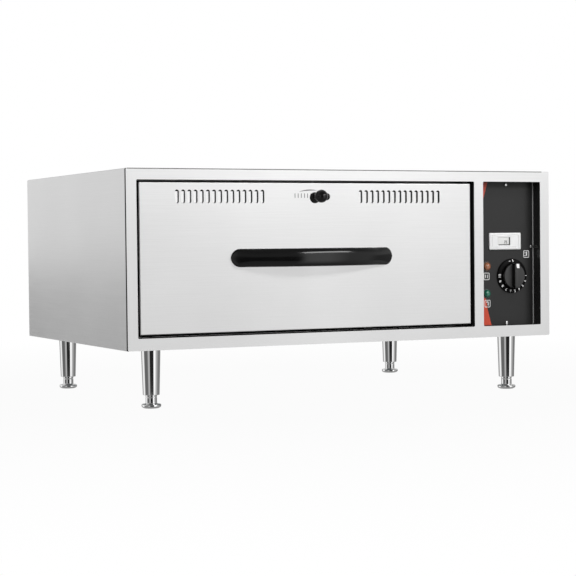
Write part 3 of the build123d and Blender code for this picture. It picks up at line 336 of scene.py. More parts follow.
def finish(name):
    """The material of a finish, made the first time it is asked for."""
    make, title, colour, *settings = FINISHES[name]
    swatches = bpy.context.scene.warming_drawer_colours
    shown = linear(colour) if colour.startswith("#") else getattr(swatches, colour)
    return bpy.data.materials.get(title) or make(title, tuple(shown), *settings)


# Shapes

def box_mm(node):
    """Lowest and highest corner of a CAD node, in millimetres."""
    low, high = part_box(node)
    return np.array(low) / MM, np.array(high) / MM


def middle(low, high, y=None, z=None):
    """The middle between two corners, moved to another y or z where one is given."""
    spot = (low + high) / 2
    return np.array((spot[0], spot[1] if y is None else y, spot[2] if z is None else z))


def directions(angle):
    """(cos a, sin a) of each angle."""
    return np.stack([np.cos(angle), np.sin(angle)], -1)


def circle(steps):
    """Directions round a full turn."""
    return directions(np.arange(steps) * 2 * np.pi / steps)


def turn_matrix(angle):
    """Flat points times this are turned anticlockwise by the angle."""
    cos, sin = math.cos(angle), math.sin(angle)
    return np.array([(cos, sin), (-sin, cos)])


def rounded(width, height, radius, steps=8):
    """A rounded rectangle as four quarter arcs, corner centre + radius (cos a, sin a).

    Returns the points and their outward directions.
    """
    outward = directions((np.arange(4)[:, None] * np.pi / 2 + np.linspace(0, np.pi / 2, steps + 1)).ravel())
    corners = np.array([(1, 1), (-1, 1), (-1, -1), (1, -1)]).repeat(steps + 1, 0)
    return corners * (width / 2 - radius, height / 2 - radius) + radius * outward, outward


def soften(profile, radius, steps=5):
    """Round a profile's inner corners with quadratic curves.

    Each corner B between A and C becomes (1-t)^2 P + 2t(1-t) B + t^2 Q, where P and Q lie
    radius along its two sides, or under half a side.
    """
    points = np.asarray(profile, float)
    corner = points[1:-1]
    ends = []
    for side in (points[:-2] - corner, points[2:] - corner):
        share = np.minimum(radius / np.linalg.norm(side, axis=1, keepdims=True), 0.48)
        ends.append((corner + side * share)[:, None])
    t = np.linspace(0, 1, steps)[None, :, None]
    curve = (1 - t) ** 2 * ends[0] + 2 * t * (1 - t) * corner[:, None] + t ** 2 * ends[1]
    return np.concatenate([points[:1], curve.reshape(-1, 2), points[-1:]])


def loft(rings, wrap=False):
    """Skin over rings of equal length, with a fan on the first and last, or with these two joined.

    Point c of ring r has the number r x columns + c, and each quad joins four neighbours.
    """
    rows, columns, _ = rings.shape
    count = rows * columns
    points = rings.reshape(-1, 3)
    c = np.arange(columns)
    c2 = (c + 1) % columns
    row = columns * np.arange(rows if wrap else rows - 1)[:, None]
    row2 = (row + columns) % count
    faces = np.stack([row + c, row + c2, row2 + c2, row2 + c], -1).reshape(-1, 4).tolist()
    if not wrap:
        points = np.concatenate([points, rings[:1].mean(1), rings[-1:].mean(1)])
        faces += np.stack([c2, c, np.full(columns, count)], -1).tolist()
        last = count - columns
        faces += np.stack([last + c, last + c2, np.full(columns, count + 1)], -1).tolist()
    return points, faces


def set_down(flat, height, centre, facing="front"):
    """Flat points (..., 2) and their height out of the drawing, as points in space."""
    right, up, out = np.array(FACINGS[facing], float)
    height = np.asarray(height, float)[..., None]
    return np.asarray(centre, float) + flat[..., :1] * right + flat[..., 1:] * up + height * out


def stacked(rings, centre, facing="front"):
    """Skin over flat outlines of equal length, each with its height or its points' heights."""
    return loft(np.stack([set_down(flat, height, centre, facing) for flat, height in rings]))


def raised(outline, profile, centre, facing="front", wrap=False):
    """Skin of an outline along a profile of (inset, height): point - inset x its outward direction."""
    points, outward = outline
    profile = np.asarray(profile, float)
    flat = points[None] - profile[:, :1, None] * outward[None]
    return loft(set_down(flat, profile[:, 1:], centre, facing), wrap)


def turned(profile, centre, facing="front", steps=48, wrap=False):
    """Surface of revolution: radius (cos a, sin a) across, height along, for each (radius, height)."""
    around = circle(steps)
    return raised((np.zeros_like(around), around), np.asarray(profile, float) * (-1, 1), centre, facing,
                  wrap)


def flat_plate(corners, thickness, centre, facing="front"):
    """A thin plate from a list of corners in its plane."""
    flat = np.asarray(corners, float)
    return stacked([(flat, 0), (flat, thickness)], centre, facing)


def flat_bar(x0, x1, z0, z1, thickness, centre, facing="front"):
    """A thin rectangular plate between two places across and two up."""
    return flat_plate([(x0, z0), (x1, z0), (x1, z1), (x0, z1)], thickness, centre, facing)


def inked(outline, centre, thickness):
    """An outline filled with a thin layer."""
    return raised(outline, [(0, 0), (0, thickness)], centre)


def mesh_points(mesh):
    """A mesh's vertices as an array."""
    points = np.empty(len(mesh.vertices) * 3)
    mesh.vertices.foreach_get("co", points)
    return points.reshape(-1, 3)


def lettering(text, height, centre, thickness, turn=0.0):
    """Plain numbers as a thin raised mesh, centred on a point and turned in the plane."""
    curve = bpy.data.curves.new(text, "FONT")
    curve.body = text
    # A digit is 0.7 of the font's size, and its strokes are drawn a little bolder
    curve.size = height / 0.7
    curve.offset = height * 0.035
    curve.align_x = "CENTER"
    curve.align_y = "CENTER"
    curve.extrude = thickness / 2
    holder = bpy.data.objects.new(text, curve)
    mesh = holder.to_mesh()
    points = mesh_points(mesh)
    faces = [list(p.vertices) for p in mesh.polygons]
    holder.to_mesh_clear()
    bpy.data.objects.remove(holder)
    bpy.data.curves.remove(curve)
    return set_down(points[:, :2] @ turn_matrix(turn), points[:, 2] + thickness / 2, centre), faces


def new_object(name, data):
    """A new object of the scene that holds the data."""
    made = bpy.data.objects.new(name, data)
    bpy.context.scene.collection.objects.link(made)
    return made


def make_piece(name, parts, slot, finishes=None, body="cabinet", replaces=None, sharp=35):
    """Join parts into one object that rides on a body.

    A part is (points in mm, faces) or (points, faces, number of its finish).
    """
    faces = []
    numbers = []
    start = 0
    for points, part_faces, *number in parts:
        faces += [[corner + start for corner in face] for face in part_faces]
        numbers += (number or [0]) * len(part_faces)
        start += len(points)
    mesh = bpy.data.meshes.new(name)
    mesh.from_pydata((np.concatenate([part[0] for part in parts]) * MM).tolist(), [], faces)
    mesh.polygons.foreach_set("material_index", numbers)
    work = bmesh.new()
    work.from_mesh(mesh)
    bmesh.ops.remove_doubles(work, verts=work.verts, dist=1e-7)
    bmesh.ops.dissolve_degenerate(work, edges=work.edges, dist=1e-7)
    bmesh.ops.recalc_face_normals(work, faces=work.faces)
    work.to_mesh(mesh)
    work.free()
    mesh.shade_smooth()
    mesh.set_sharp_from_angle(angle=math.radians(sharp))
    for finish_name in finishes or (slot,):
        mesh.materials.append(finish(finish_name))
    made = new_object(name, mesh)
    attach(made, body)
    if replaces:
        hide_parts(replaces)
    return made


class Step:
    """What every operator shares: it runs on the open scene and can be undone"""
    bl_options = {"REGISTER", "UNDO"}


# Nodes whose sheet has another gloss than their slot's
OTHER_FINISH = {"control_recess": "gloss_paint", "vent_slider": "bright_sheet"}


class WARMING_OT_finishes(Step, bpy.types.Operator):
    """Give every CAD node the finish of its material slot"""
    bl_idname = "warming.finishes"
    bl_label = "Finishes of the CAD nodes"

    def execute(self, context):
        for row in frame["record"]["subparts"]:
            mesh = frame["nodes"][row["node"]].data
            mesh.materials.clear()
            mesh.materials.append(finish(OTHER_FINISH.get(row["node"], row["material_slot"])))
        return {"FINISHED"}


def arc_height(x, half_span, sagitta):
    """Height of a circle's arc over its chord: the radius is (h^2 + s^2) / 2s."""
    radius = (half_span ** 2 + sagitta ** 2) / (2 * sagitta)
    return np.sqrt(np.maximum(radius ** 2 - x ** 2, 0)) - radius + sagitta


class WARMING_OT_handle(Step, bpy.types.Operator):
    """Build the black bow handle: an arc in plan, round-ended in elevation, soft-edged in section"""
    bl_idname = "warming.handle"
    bl_label = "Bow handle"

    def execute(self, context):
        low, high = box_mm("handle")
        half, rise, half_height = (high - low) * (0.5, 1, 0.5)
        tip = sizes().handle_tip / MM
        # Stations x = half sin(t) lie closer together towards the ends
        x = half * np.sin(np.linspace(-np.pi / 2, np.pi / 2, 220))[1:-1]
        outer = tip + arc_height(x, half, rise - tip)
        inner = np.maximum(arc_height(x, half - sizes().handle_foot / MM,
                                      rise - sizes().handle_thickness / MM), 0)
        round_end = np.maximum(np.abs(x) - (half - half_height), 0)
        tall = np.sqrt(np.maximum(half_height ** 2 - round_end ** 2, 0))
        # Section: middle + (a |cos v|^(2/n), b |sin v|^(2/n)) with the signs of cos and sin
        section = circle(56)
        across, upward = (np.sign(section) * np.abs(section) ** (2 / 2.4)).T
        depth = (outer + inner)[:, None] / 2 + (outer - inner)[:, None] / 2 * across
        centre = middle(low, high)
        rings = np.stack([
            np.broadcast_to(centre[0] + x[:, None], depth.shape),
            high[1] - depth,
            centre[2] + tall[:, None] * upward,
        ], -1)
        made = make_piece("bow_handle", [loft(rings)], "black_plastic", ("black_handle",), "drawer",
                          "handle", 60)
        made.visible_glossy = False
        return {"FINISHED"}


class WARMING_OT_vent_knob(Step, bpy.types.Operator):
    """Turn the ball knob of the vent slider with its stem and collar"""
    bl_idname = "warming.vent_knob"
    bl_label = "Vent knob"

    def execute(self, context):
        low, high = box_mm("vent_knob")
        ball = (high[0] - low[0]) / 2
        ball_middle = high[1] - low[1] - ball
        collar_back = high[1] - box_mm("drawer_front_skin")[0][1] + 0.3
        crown = ball * directions(np.linspace(np.pi / 2, np.radians(-66), 30)[1:]) + (0, ball_middle)
        stem = [(4, collar_back + 4), (4, 1.5), (6, 1.5), (6, 0)]
        profile = np.concatenate([crown, soften([crown[-1], *stem], 0.5)[1:]])
        washer = 8.5
        ring = soften([(3, 1.7), (washer, 1.7), (washer, 0), (3, 0)], 0.4)
        # The washer hangs a little low on the stem
        hung = middle(low, high, high[1] - collar_back, low[2] + washer)
        parts = [turned(profile, middle(low, high, high[1], high[2] - ball), steps=56),
                 (*turned(ring, hung, steps=56), 1)]
        made = make_piece("vent_ball_knob", parts, "black_plastic", ("black_plastic", "black_rubber"),
                          "vent_slider", "vent_knob", 50)
        made.visible_glossy = False
        made.visible_shadow = False
        return {"FINISHED"}


def at_bearing(centre, reach, bearing):
    """The point of a dial at a reach from its middle and a bearing clockwise from its top."""
    return centre + reach * np.array((math.sin(bearing), 0, math.cos(bearing)))


def thermostat_dial():
    """The ring: a bevelled face with its numbers, and the marks of the knob's rest."""
    low, high = box_mm("thermostat_dial")
    knob_low, knob_high = box_mm("thermostat_knob")
    radius = (high[0] - low[0]) / 2
    knob = (knob_high[0] - knob_low[0]) / 2
    thick = high[1] - low[1]
    slope, bore, ink = 1.3, 9, 0.08
    rim = [(bore, 0), (radius - 0.4, 0), (radius, 0.5), (radius, thick - slope - 0.9),
           (radius - 0.9, thick - slope), (knob + 1.1, thick), (knob + 0.6, thick - 0.7),
           (bore, thick - 0.7)]
    parts = [turned(soften(rim, 0.35), middle(low, high, high[1]), steps=96, wrap=True)]
    face = middle(low, high, low[1] + slope / 2 - 0.25)
    reach = (radius + knob + 0.6) / 2
    # Numbers stand radially, tops outwards, from 3 o'clock clockwise to 9 o'clock
    for number in range(1, 11):
        bearing = math.radians(90 + (number - 1) * 20)
        parts.append((*lettering(str(number), sizes().digit_height / MM, at_bearing(face, reach, bearing),
                                 ink, -bearing), 1))
    # A short bar and a leaning tick mark the knob's rest at 12 o'clock
    for bearing, wide, tall, lean in ((-13, 3.0, 1.0, 8), (1, 1.5, 5.0, 24)):
        outline = [flat @ turn_matrix(math.radians(lean)) for flat in rounded(wide, tall, 0.3, 3)]
        parts.append((*inked(outline, at_bearing(face, reach, math.radians(bearing)), ink), 1))
    make_piece("numbered_dial", parts, "black_plastic", ("black_dial", "white_ink"),
               replaces="thermostat_dial")


def thermostat_knob():
    """The knob: a glossy skirt with a matt face, a grip bar across it and a white pointer; the skirt and the
    bar's sides are darker as painted shade, the face and the bar's top lighter as painted light.
    """
    low, high = box_mm("thermostat_knob")
    radius = (high[0] - low[0]) / 2
    deep = high[1] - low[1]
    disc, bore = 5.7, 4
    centre = middle(low, high, high[1])
    skirt = [(radius - 0.8, 0), (radius, 0.8), (radius, disc - 0.9), (radius - 0.9, disc),
             (radius - 6, disc + 0.1), (bore, disc + 0.1)]
    face = [(bore, disc), (radius - 1.3, disc), (radius - 1.3, disc + 0.2), (bore, disc + 0.2)]
    half = np.array((sizes().grip_width / MM / 2, radius - 0.5))

    def sunk(flat, height):
        """The bar's top sinks towards its ends: height - 2.2 (z / half length)^2."""
        return flat, height - 2.2 * (flat[:, 1] / half[1]) ** 2

    bar, _ = rounded(*(2 * half), 1.5, 5)
    tops = [(0, deep - 1.2), (0.25, deep - 0.5), (0.8, deep - 0.1), (1.8, deep), (3.2, deep), (4.4, deep)]
    rings = [(bar, disc - 0.5), *[sunk(bar * (1 - inset / half), height) for inset, height in tops]]
    pointer = sizes().pointer_length / MM
    mark, _ = rounded(half[0], pointer, 0.6, 4)
    mark_middle = (0, radius - 0.9 - pointer / 2)
    mark_rings = [sunk(mark * share + mark_middle, deep + lift)
                  for share, lift in ((1, -0.3), (1, 0.08), (0.6, 0.08), (0.2, 0.08))]
    # The skirt and the bar's sides take the gloss black as painted shade, the face and the bar's top the
    # lighter grey as painted light
    parts = [(*turned(soften(skirt, 0.5), centre, steps=96), 2),
             (*turned(soften(face, 0.1), centre, steps=96), 0),
             (*stacked(rings[:3], centre), 2), (*stacked(rings[2:], centre), 0),
             (*stacked(mark_rings, centre), 1)]
    make_piece("thermostat_grip", parts, "black_plastic", ("knob_lit_face", "white_ink", "black_plastic"),
               "thermostat_knob", "thermostat_knob", 40)


class WARMING_OT_thermostat(Step, bpy.types.Operator):
    """Build the thermostat's numbered ring and its knob with a grip bar and pointer"""
    bl_idname = "warming.thermostat"
    bl_label = "Thermostat dial and knob"

    def execute(self, context):
        thermostat_dial()
        thermostat_knob()
        return {"FINISHED"}


class WARMING_OT_lamps(Step, bpy.types.Operator):
    """Turn the two domed lamp lenses, each with a stepped collar"""
    bl_idname = "warming.lamps"
    bl_label = "Pilot lamps"

    def execute(self, context):
        panel = box_mm("control_panel")[0][1]
        for colour in ("orange", "green"):
            low, high = box_mm("lamp_lens_" + colour)
            radius = (high[0] - low[0]) / 2
            shoulder = radius - 1.2
            quarter = directions(np.linspace(0, np.pi / 2, 14)[:-1])
            dome = quarter * (shoulder, panel - low[1] - 1) + (0, 1)
            collar = soften([(4.6, 0), (radius, 0), (radius, 0.9), (shoulder, 1)], 0.25)
            lens = turned(np.concatenate([collar, dome]), middle(low, high, panel))
            make_piece("lamp_dome_" + colour, [lens], "lens_" + colour, replaces="lamp_lens_" + colour,
                       sharp=60)
        return {"FINISHED"}


class WARMING_OT_thermometer(Step, bpy.types.Operator):
    """Build the white panel thermometer: rounded bezel, sunk window and its reading"""
    bl_idname = "warming.thermometer"
    bl_label = "Panel thermometer"

    def execute(self, context):
        low, high = box_mm("thermometer_case")
        window_low, window_high = box_mm("thermometer_window")
        panel = box_mm("control_panel")[0][1]
        width, _, height = high - low
        proud = panel - low[1]
        centre = middle(low, high, panel)
        window = (window_high - window_low)[[0, 2]]
        shift = (middle(window_low, window_high) - centre)[[0, 2]]
        outer = rounded(width, height, 1.6, 6)
        groove = rounded(width - 10.4, height - 7.6, 1.2, 6)
        inner, inner_out = rounded(*window, 0.8, 6)
        inner = (inner + shift, inner_out)
        # Each ring is an outline drawn in by an inset and set at a height above the panel
        steps = [
            (outer, 0.0, 0.0), (outer, 0.0, proud - 0.7), (outer, 0.25, proud - 0.25), (outer, 0.8, proud),
            (groove, -0.7, proud), (groove, -0.5, proud - 0.8), (groove, 0.5, proud - 0.8),
            (groove, 0.7, proud), (inner, -1.0, proud), (inner, -0.5, proud - 0.1),
            (inner, 0.0, proud - 1.1),
        ]
        bezel = stacked([(line - inset * out, up) for (line, out), inset, up in steps], centre)
        deep = proud - 1.0
        glass = raised(inner, [(0.1, deep - 0.3), (0.1, deep), (0.5, deep + 0.1)], centre)
        # Dark strips along the display's right side and its bottom are painted shade of its sunk edge
        x, z = window / 2
        seat = centre + (shift[0], -deep - 0.15, shift[1])
        side = flat_bar(x - 1.9, x - 0.3, -z, z, 0.2, seat)
        foot = flat_bar(-x + 2, x - 1.9, -z, -z + 1.3, 0.2, seat)
        reading = lettering("75", 4.4, seat + (3.6, 0, -1.6), 0.2)
        make_piece("thermometer_bezel", [bezel], "white_plastic", replaces="thermometer_case", sharp=30)
        make_piece("thermometer_display", [(*glass, 0), (*side, 1), (*foot, 1), (*reading, 2)], "display",
                   ("display", "dark_ink_and_painted_shade", "grey_ink"), replaces="thermometer_window", sharp=30)
        return {"FINISHED"}


def cross_outline(arm, half_width, steps):
    """A cross as a polar curve: the farther edge of two crossed bars in each direction."""
    around = circle(steps)
    c, s = np.abs(around).T + 1e-9
    reach = np.maximum(np.minimum(arm / c, half_width / s), np.minimum(arm / s, half_width / c))
    return around * reach[:, None]


def screw_head(radius, height, centre, facing):
    """Pan head with a cross recess: rings from the underside over the dome into the recess."""
    steps = 64
    dome = directions(np.linspace(0, np.pi / 2, 8)) * (0.45, 0.65) + (0.55, 0.35)
    rim = [(0.94, 0), (1, 0.15), *dome]
    rings = [(circle(steps) * radius * across, height * up) for across, up in rim]
    cross = cross_outline(radius * 0.5, radius * 0.13, steps)
    rings += [(cross * share, height * up) for share, up in ((1.0, 1.0), (0.8, 0.45), (0.25, 0.2))]
    return stacked(rings, centre, facing)


def screw_places(node, sign):
    """Middles (x, z) of the heads of a group of screws along Y, their radius and the y of their tops.

    The points of the tops fall in cells of 20 mm, with one screw in each.
    """
    points = mesh_points(frame["nodes"][node].data) / MM
    tip = (points[:, 1] * sign).max()
    crown = points[points[:, 1] * sign > tip - 0.05][:, [0, 2]]
    cells, numbers = np.unique(np.round(crown / 20), axis=0, return_inverse=True)
    heads = [crown[numbers.ravel() == number] for number in range(len(cells))]
    places = [(head.min(0) + head.max(0)) / 2 for head in heads]
    return places, max(np.ptp(head, axis=0).max() for head in heads) / 2, tip * sign


class WARMING_OT_screws(Step, bpy.types.Operator):
    """Model the heads of the panel screws and of the rear cover's screws"""
    bl_idname = "warming.screws"
    bl_label = "Screw heads"

    def execute(self, context):
        for node, finish_name, facing, seat in (
                ("panel_screws", "chrome", "front", box_mm("control_panel")[0][1]),
                ("rear_panel_screws", "zinc_steel", "rear", box_mm("rear_panel")[1][1])):
            places, radius, top = screw_places(node, FACINGS[facing][2][1])
            heads = [screw_head(radius + 0.2, abs(top - seat), (x, seat, z), facing) for x, z in places]
            make_piece(node.replace("screws", "screw_heads"), heads, finish_name, replaces=node, sharp=40)
        return {"FINISHED"}


def upright_piece(name, node, profile, soft, body="cabinet"):
    """A chrome piece turned about the upright line through its node's middle, from the node's foot."""
    low, high = box_mm(node)
    surface = turned(soften(profile, soft), middle(low, high, z=low[2]), "up", 72)
    make_piece(name, [surface], "chrome", None, body, node, 50)


class WARMING_OT_legs(Step, bpy.types.Operator):
    """Turn the four tapered legs and their levelling feet"""
    bl_idname = "warming.legs"
    bl_label = "Legs and feet"

    def execute(self, context):
        # Radii of the leg's bore, lower end, upper end and stud, and of the foot's neck and groove
        bore, bottom, top, stud = 9.9, 12.7, 14.8, 6
        neck, groove = 8.7, 8.2
        for name in ("front_left", "front_right", "rear_left", "rear_right"):
            low, high = box_mm("leg_" + name)
            under = box_mm("base_pan")[0][2] - low[2]
            leg = [(bore, 46), (bore, 0), (bottom, 0), (top, under - 1), (top, under), (stud, under),
                   (stud, high[2] - low[2])]
            upright_piece("tapered_leg_" + name, "leg_" + name, leg, 0.7)
            low, high = box_mm("foot_" + name)
            reach = (high[0] - low[0]) / 2
            foot = [(reach - 5, 0), (reach - 2.4, 1.2), (reach - 1.3, 2.8), (reach - 1.3, 5.2),
                    (reach - 2.2, 6.3), (9.6, 6.9), (neck, 7.6), (neck, 16), (groove, 16.6),
                    (neck, 17.2), (neck, 49.8)]
            upright_piece("levelling_foot_" + name, "foot_" + name, foot, 0.8, "foot_" + name)
        return {"FINISHED"}


class WARMING_OT_pan(Step, bpy.types.Operator):
    """Draw the food pan: one sheet from the rolled rim down the tapered wall to the floor"""
    bl_idname = "warming.pan"
    bl_label = "Food pan"

    def execute(self, context):
        low, high = box_mm("food_pan")
        width, depth, top = high - low
        roll = sizes().rim_roll / MM
        sheet = 1.0
        rim = 12
        foot = rim + top * math.tan(math.radians(4))
        # Inset from the rim's outline and height above the floor, down the outside and up the inside
        outside = [(0.4, top - roll), (0, top - roll / 2), (0.3, top - 0.1), (1.6, top), (rim - 1, top),
                   (rim + sheet, top - 2), (foot + sheet - 1, sheet + 12), (foot + 10, sheet),
                   (foot + 24, sheet + 0.4)]
        inside = [(0.4, top - roll), (1.2, top - sheet - 0.2), (rim - 2, top - sheet),
                  (rim, top - sheet - 2), (foot - 1, 12), (foot + 9.5, 0), (foot + 24, 0.2)]
        profile = np.concatenate([soften(inside, 9, 7)[::-1], soften(outside, 9, 7)[1:]])
        pan = raised(rounded(width, depth, 45, 14), profile, middle(low, high, z=low[2]), "up")
        make_piece("drawn_food_pan", [pan], "stainless_inner", None, "food_pan", "food_pan", 50)
        return {"FINISHED"}


INK = 0.06

# Each mark on the panel: its place, and the middle, width and height of the bars in its frame
PANEL_MARKS = (
    ((95.8, 0, 115.9), [(0.7, 0.4, 2.1, 7.0), (-2.3, 2.3, 2.0, 2.0), (-2.3, -2.3, 2.0, 2.0)]),
    ((18.4, 0, 80.2), [(-1.8, 0, 1.2, 6.0), (2.0, 0, 1.2, 6.0)]),
    ((19.8, 0, 35.5), [(-0.2, 2.6, 4.8, 1.6), (1.4, -0.6, 1.7, 5.4)]),
)


def framed_mark(centre, bars):
    """A small light frame with a plain figure in it."""
    outline = rounded(11.2, 12, 2, 4)
    line = 1.0
    parts = [raised(outline, [(0, 0), (0, INK), (line, INK), (line, 0)], centre, wrap=True),
             (*raised(outline, [(line, 0), (line, INK / 2)], centre), 1)]
    for x, z, wide, high in bars:
        parts.append(inked(rounded(wide, high, min(wide, high) * 0.45, 3), centre + (x, 0, z), INK))
    return parts


def slide_mark():
    """A tapered arc and a plain tick scale beside the vent knob.

    The arc's middle sinks by 1.5 (s - 0.35)^2 at share s of its half length, where its half
    width is 0.9 cos(s pi/2).
    """
    skin = box_mm("drawer_front_skin")[0][1]
    low, high = box_mm("vent_knob")
    knob = (low[0] + high[0]) / 2
    share = np.linspace(-0.96, 0.96, 25)
    x = knob - 11 + 16 * share
    z = high[2] + 0.1 - 1.5 * (share - 0.35) ** 2
    half = 0.9 * np.cos(share * np.pi / 2)
    rim = np.concatenate([np.stack([x, z - half], -1), np.stack([x, z + half], -1)[::-1]])
    parts = [flat_plate(rim, INK, (0, skin, 0))]
    for tick in knob - 33.5 + 5.4 * np.arange(6):
        parts.append(inked(rounded(1.2, 7, 0.5, 3), (tick, skin, high[2] - 8.6), INK))
    make_piece("slide_mark", parts, "stainless_front", ("grey_ink",), "drawer")


class WARMING_OT_panel_print(Step, bpy.types.Operator):
    """Print plain marks on the control panel and the drawer front, and the corner stripes, and paint a
    highlight on the recess's corner
    """
    bl_idname = "warming.panel_print"
    bl_label = "Printed marks"

    def execute(self, context):
        slide_mark()
        low, high = box_mm("control_panel")
        marks = []
        for place, bars in PANEL_MARKS:
            marks += framed_mark(low + place, bars)
        make_piece("panel_marks", marks, "black_panel", ("white_ink", "dark_ink_and_painted_shade"))
        left, face, bottom = low + (0, 0, 0.3)
        right, _, top = high - (0, 0, 0.3)
        upper = [(0.3, 0), (21, 0), (11.5, -32), (0.3, -70)]
        lower = [(0.3, 0), (27.3, 0), (20, 26), (16.8, 46), (0.3, 70)]
        wedges = [flat_plate(upper, 0.05, (left, face, top)), flat_plate(lower, 0.05, (left, face, bottom))]
        make_piece("panel_stripes", wedges, "black_panel", ("stripe_ink",))
        # A light grey strip on the folded corner between the panel and the recess's right wall is a painted
        # highlight
        highlight_strip = loft(np.array([[(right - 1.1, face, z), (right, face - 1.1, z), (right, face, z)]
                              for z in (bottom, top)]))
        make_piece("recess_corner_edge", [highlight_strip], "black_panel", ("painted_highlight_ink",))
        return {"FINISHED"}


# Gaps round the drawer's front: at its sides and bottom, and at its top
SIDE_GAP = 4.5
TOP_GAP = 3
FACE_SHEET = 1.2


def band(name, low, high, y, profile, facing, radius, finish_name, body="cabinet"):
    """A closed band of (inset, height) round a rectangle with rounded corners, from a depth y."""
    outline = rounded(high[0] - low[0], high[2] - low[2], radius, 6)
    make_piece(name, [raised(outline, profile, middle(low, high, y), facing, wrap=True)], "silicone",
               (finish_name,), body, sharp=40)


def strip_profile(outward, deep):
    """A strip that lies on the side that outward names (+1 out, -1 in) and runs deep millimetres back."""
    face, top = -0.02 * outward, -0.4 * outward
    return [(face, 0), (top, 0.3), (top, deep), (face, deep)]


def groove_seal(front):
    """Fill the groove behind the face sheet with black as painted shade, and paint a dark grey line along its
    joint at the top edge as painted shade.
    """
    low, high = box_mm("outer_wrap")
    left, right, top = low[0], high[0], high[2]
    behind = front + FACE_SHEET
    spans = ((left + 0.4, left + 3, low[2]), (right - 0.4, right - 3, low[2]), (left + 3, right - 3, top - 3))
    seal = [flat_bar(x0, x1, z0, top - 0.4, low[1] - behind, (0, behind, 0), "rear_plain")
            for x0, x1, z0 in spans]
    make_piece("groove_seal", seal, "silicone", ("felt",))
    # A dark grey line along the top edge is painted shade of the joint's bend
    line = flat_bar(left + 1.5, right - 14, top - 1.3, top - 0.02, 0.03, (0, front, 0))
    make_piece("top_joint_line", [line], "stainless_brushed", ("joint",))


def vent_comb(back):
    """A black comb behind the skin between the vents, clear of the slider, and a black lining behind the
    knob's slot: painted shade under the vents' top edges, along their right sides and in the slot.
    """
    low, high = box_mm("vent_slider")
    # Slots in a group, their pitch, a bar's width, and the bars' foot, head and crest
    slots, pitch, bar = 15, 10, 3.65
    foot, head, crest = high[2] - np.array((26, 7.4, 3.2))
    parts = []
    # Each group starts at the middle of its first slot
    for first in (low[0] + pitch, high[0] - slots * pitch):
        starts = first + 3.0 + pitch * np.arange(slots)
        # The strip across the slots' tops is painted shade under their top edges, and each bar darkens a
        # slot's right side as painted shade
        spans = [(first - pitch / 2, starts[-1] + bar, head, crest)]
        spans += [(x, x + bar, foot, head) for x in starts]
        parts += [flat_bar(*span, 1.4, (0, back, 0), "rear_plain") for span in spans]
    make_piece("vent_wiper", parts, "silicone", ("felt",), "drawer")
    spot = middle(*box_mm("vent_knob"), low[1], (low[2] + high[2]) / 2) + (7, 0, 0)
    make_piece("slot_lining", [inked(rounded(56, 15, 4, 6), spot, 0.3)], "silicone", ("felt",),
               "vent_slider")


class WARMING_OT_gap_trims(Step, bpy.types.Operator):
    """Line the gap round the drawer with painted shade: a black strip on the drawer's edge and one in the
    opening
    """
    bl_idname = "warming.gap_trims"
    bl_label = "Edge strips"

    def execute(self, context):
        low, high = box_mm("drawer_front_skin")
        # Black strips on the drawer's edge and in the opening are painted shade in the gap
        edge = low[1] + 2.2
        band("drawer_edge_strip", low, high, edge, strip_profile(1, high[1] - 0.5 - edge), "rear", 1.8,
             "black_rubber", "drawer")
        front = box_mm("front_frame")[0][1]
        opening = (low - (SIDE_GAP, 0, SIDE_GAP), high + (SIDE_GAP, 0, TOP_GAP))
        band("opening_edge_strip", *opening, front + 1.4, strip_profile(-1, 18.1), "rear", 2, "black_rubber")
        # A flat black ring on the sealing land, outside the line that the drawer's seal touches, is painted
        # shade in the gap
        band("land_ring", *opening, box_mm("cavity_liner")[0][1], [(0.45, 0), (0.45, 0.3), (5, 0.3), (5, 0)],
             "front", 2, "felt")
        groove_seal(front)
        vent_comb(low[1] + FACE_SHEET)
        return {"FINISHED"}


class WARMING_OT_gasket(Step, bpy.types.Operator):
    """Sweep the seal's hollow bulb round the drawer's inner cover"""
    bl_idname = "warming.gasket"
    bl_label = "Drawer seal"

    def execute(self, context):
        low, high = box_mm("drawer_gasket")
        wide, base = 10, 0.9
        bulb = directions(np.linspace(0, np.pi, 12)) * (-3.4, high[1] - low[1] - base) + (wide / 2, base)
        profile = np.concatenate([[(0, 0), (0, base)], bulb, [(wide, base), (wide, 0)]])
        outline = rounded(high[0] - low[0], high[2] - low[2], 10, 8)
        seal = raised(outline, profile, middle(low, high, low[1]), "rear", wrap=True)
        make_piece("seal_profile", [seal], "silicone", None, "drawer", "drawer_gasket", 40)
        return {"FINISHED"}


# Walls of the studio as metal sees them: bearings from +Y towards +X between which a wall
# stands, the softness of its edges in degrees, and its brightness where white is 1
STUDIO_WALL = 0.4
# The ceiling in front of the object and behind it
STUDIO_CEILING = (0.12, 0.62)
STUDIO_FLOOR = 0.28
STUDIO_FILL = 0.85
STUDIO_ZONES = [
    (15, 112, 8, 0.55),
    (122, 168, 4, 1.16),
    (108, 141, 8, 0.5),
    (169, 214, 2, 0.2),
    (215, 237, 3, 0.5),
    (238, 288, 5, 0.6),
    (290, 326, 4, 1.0),
]
# Low boards in front of the walls, between two elevations in degrees
BOARD_ELEVATIONS = (-16, 1)
STUDIO_BOARDS = [
    (44, 112, 5, 0.22),
    (169, 214, 2, 0.02),
    (238, 288, 5, 0.15),
]

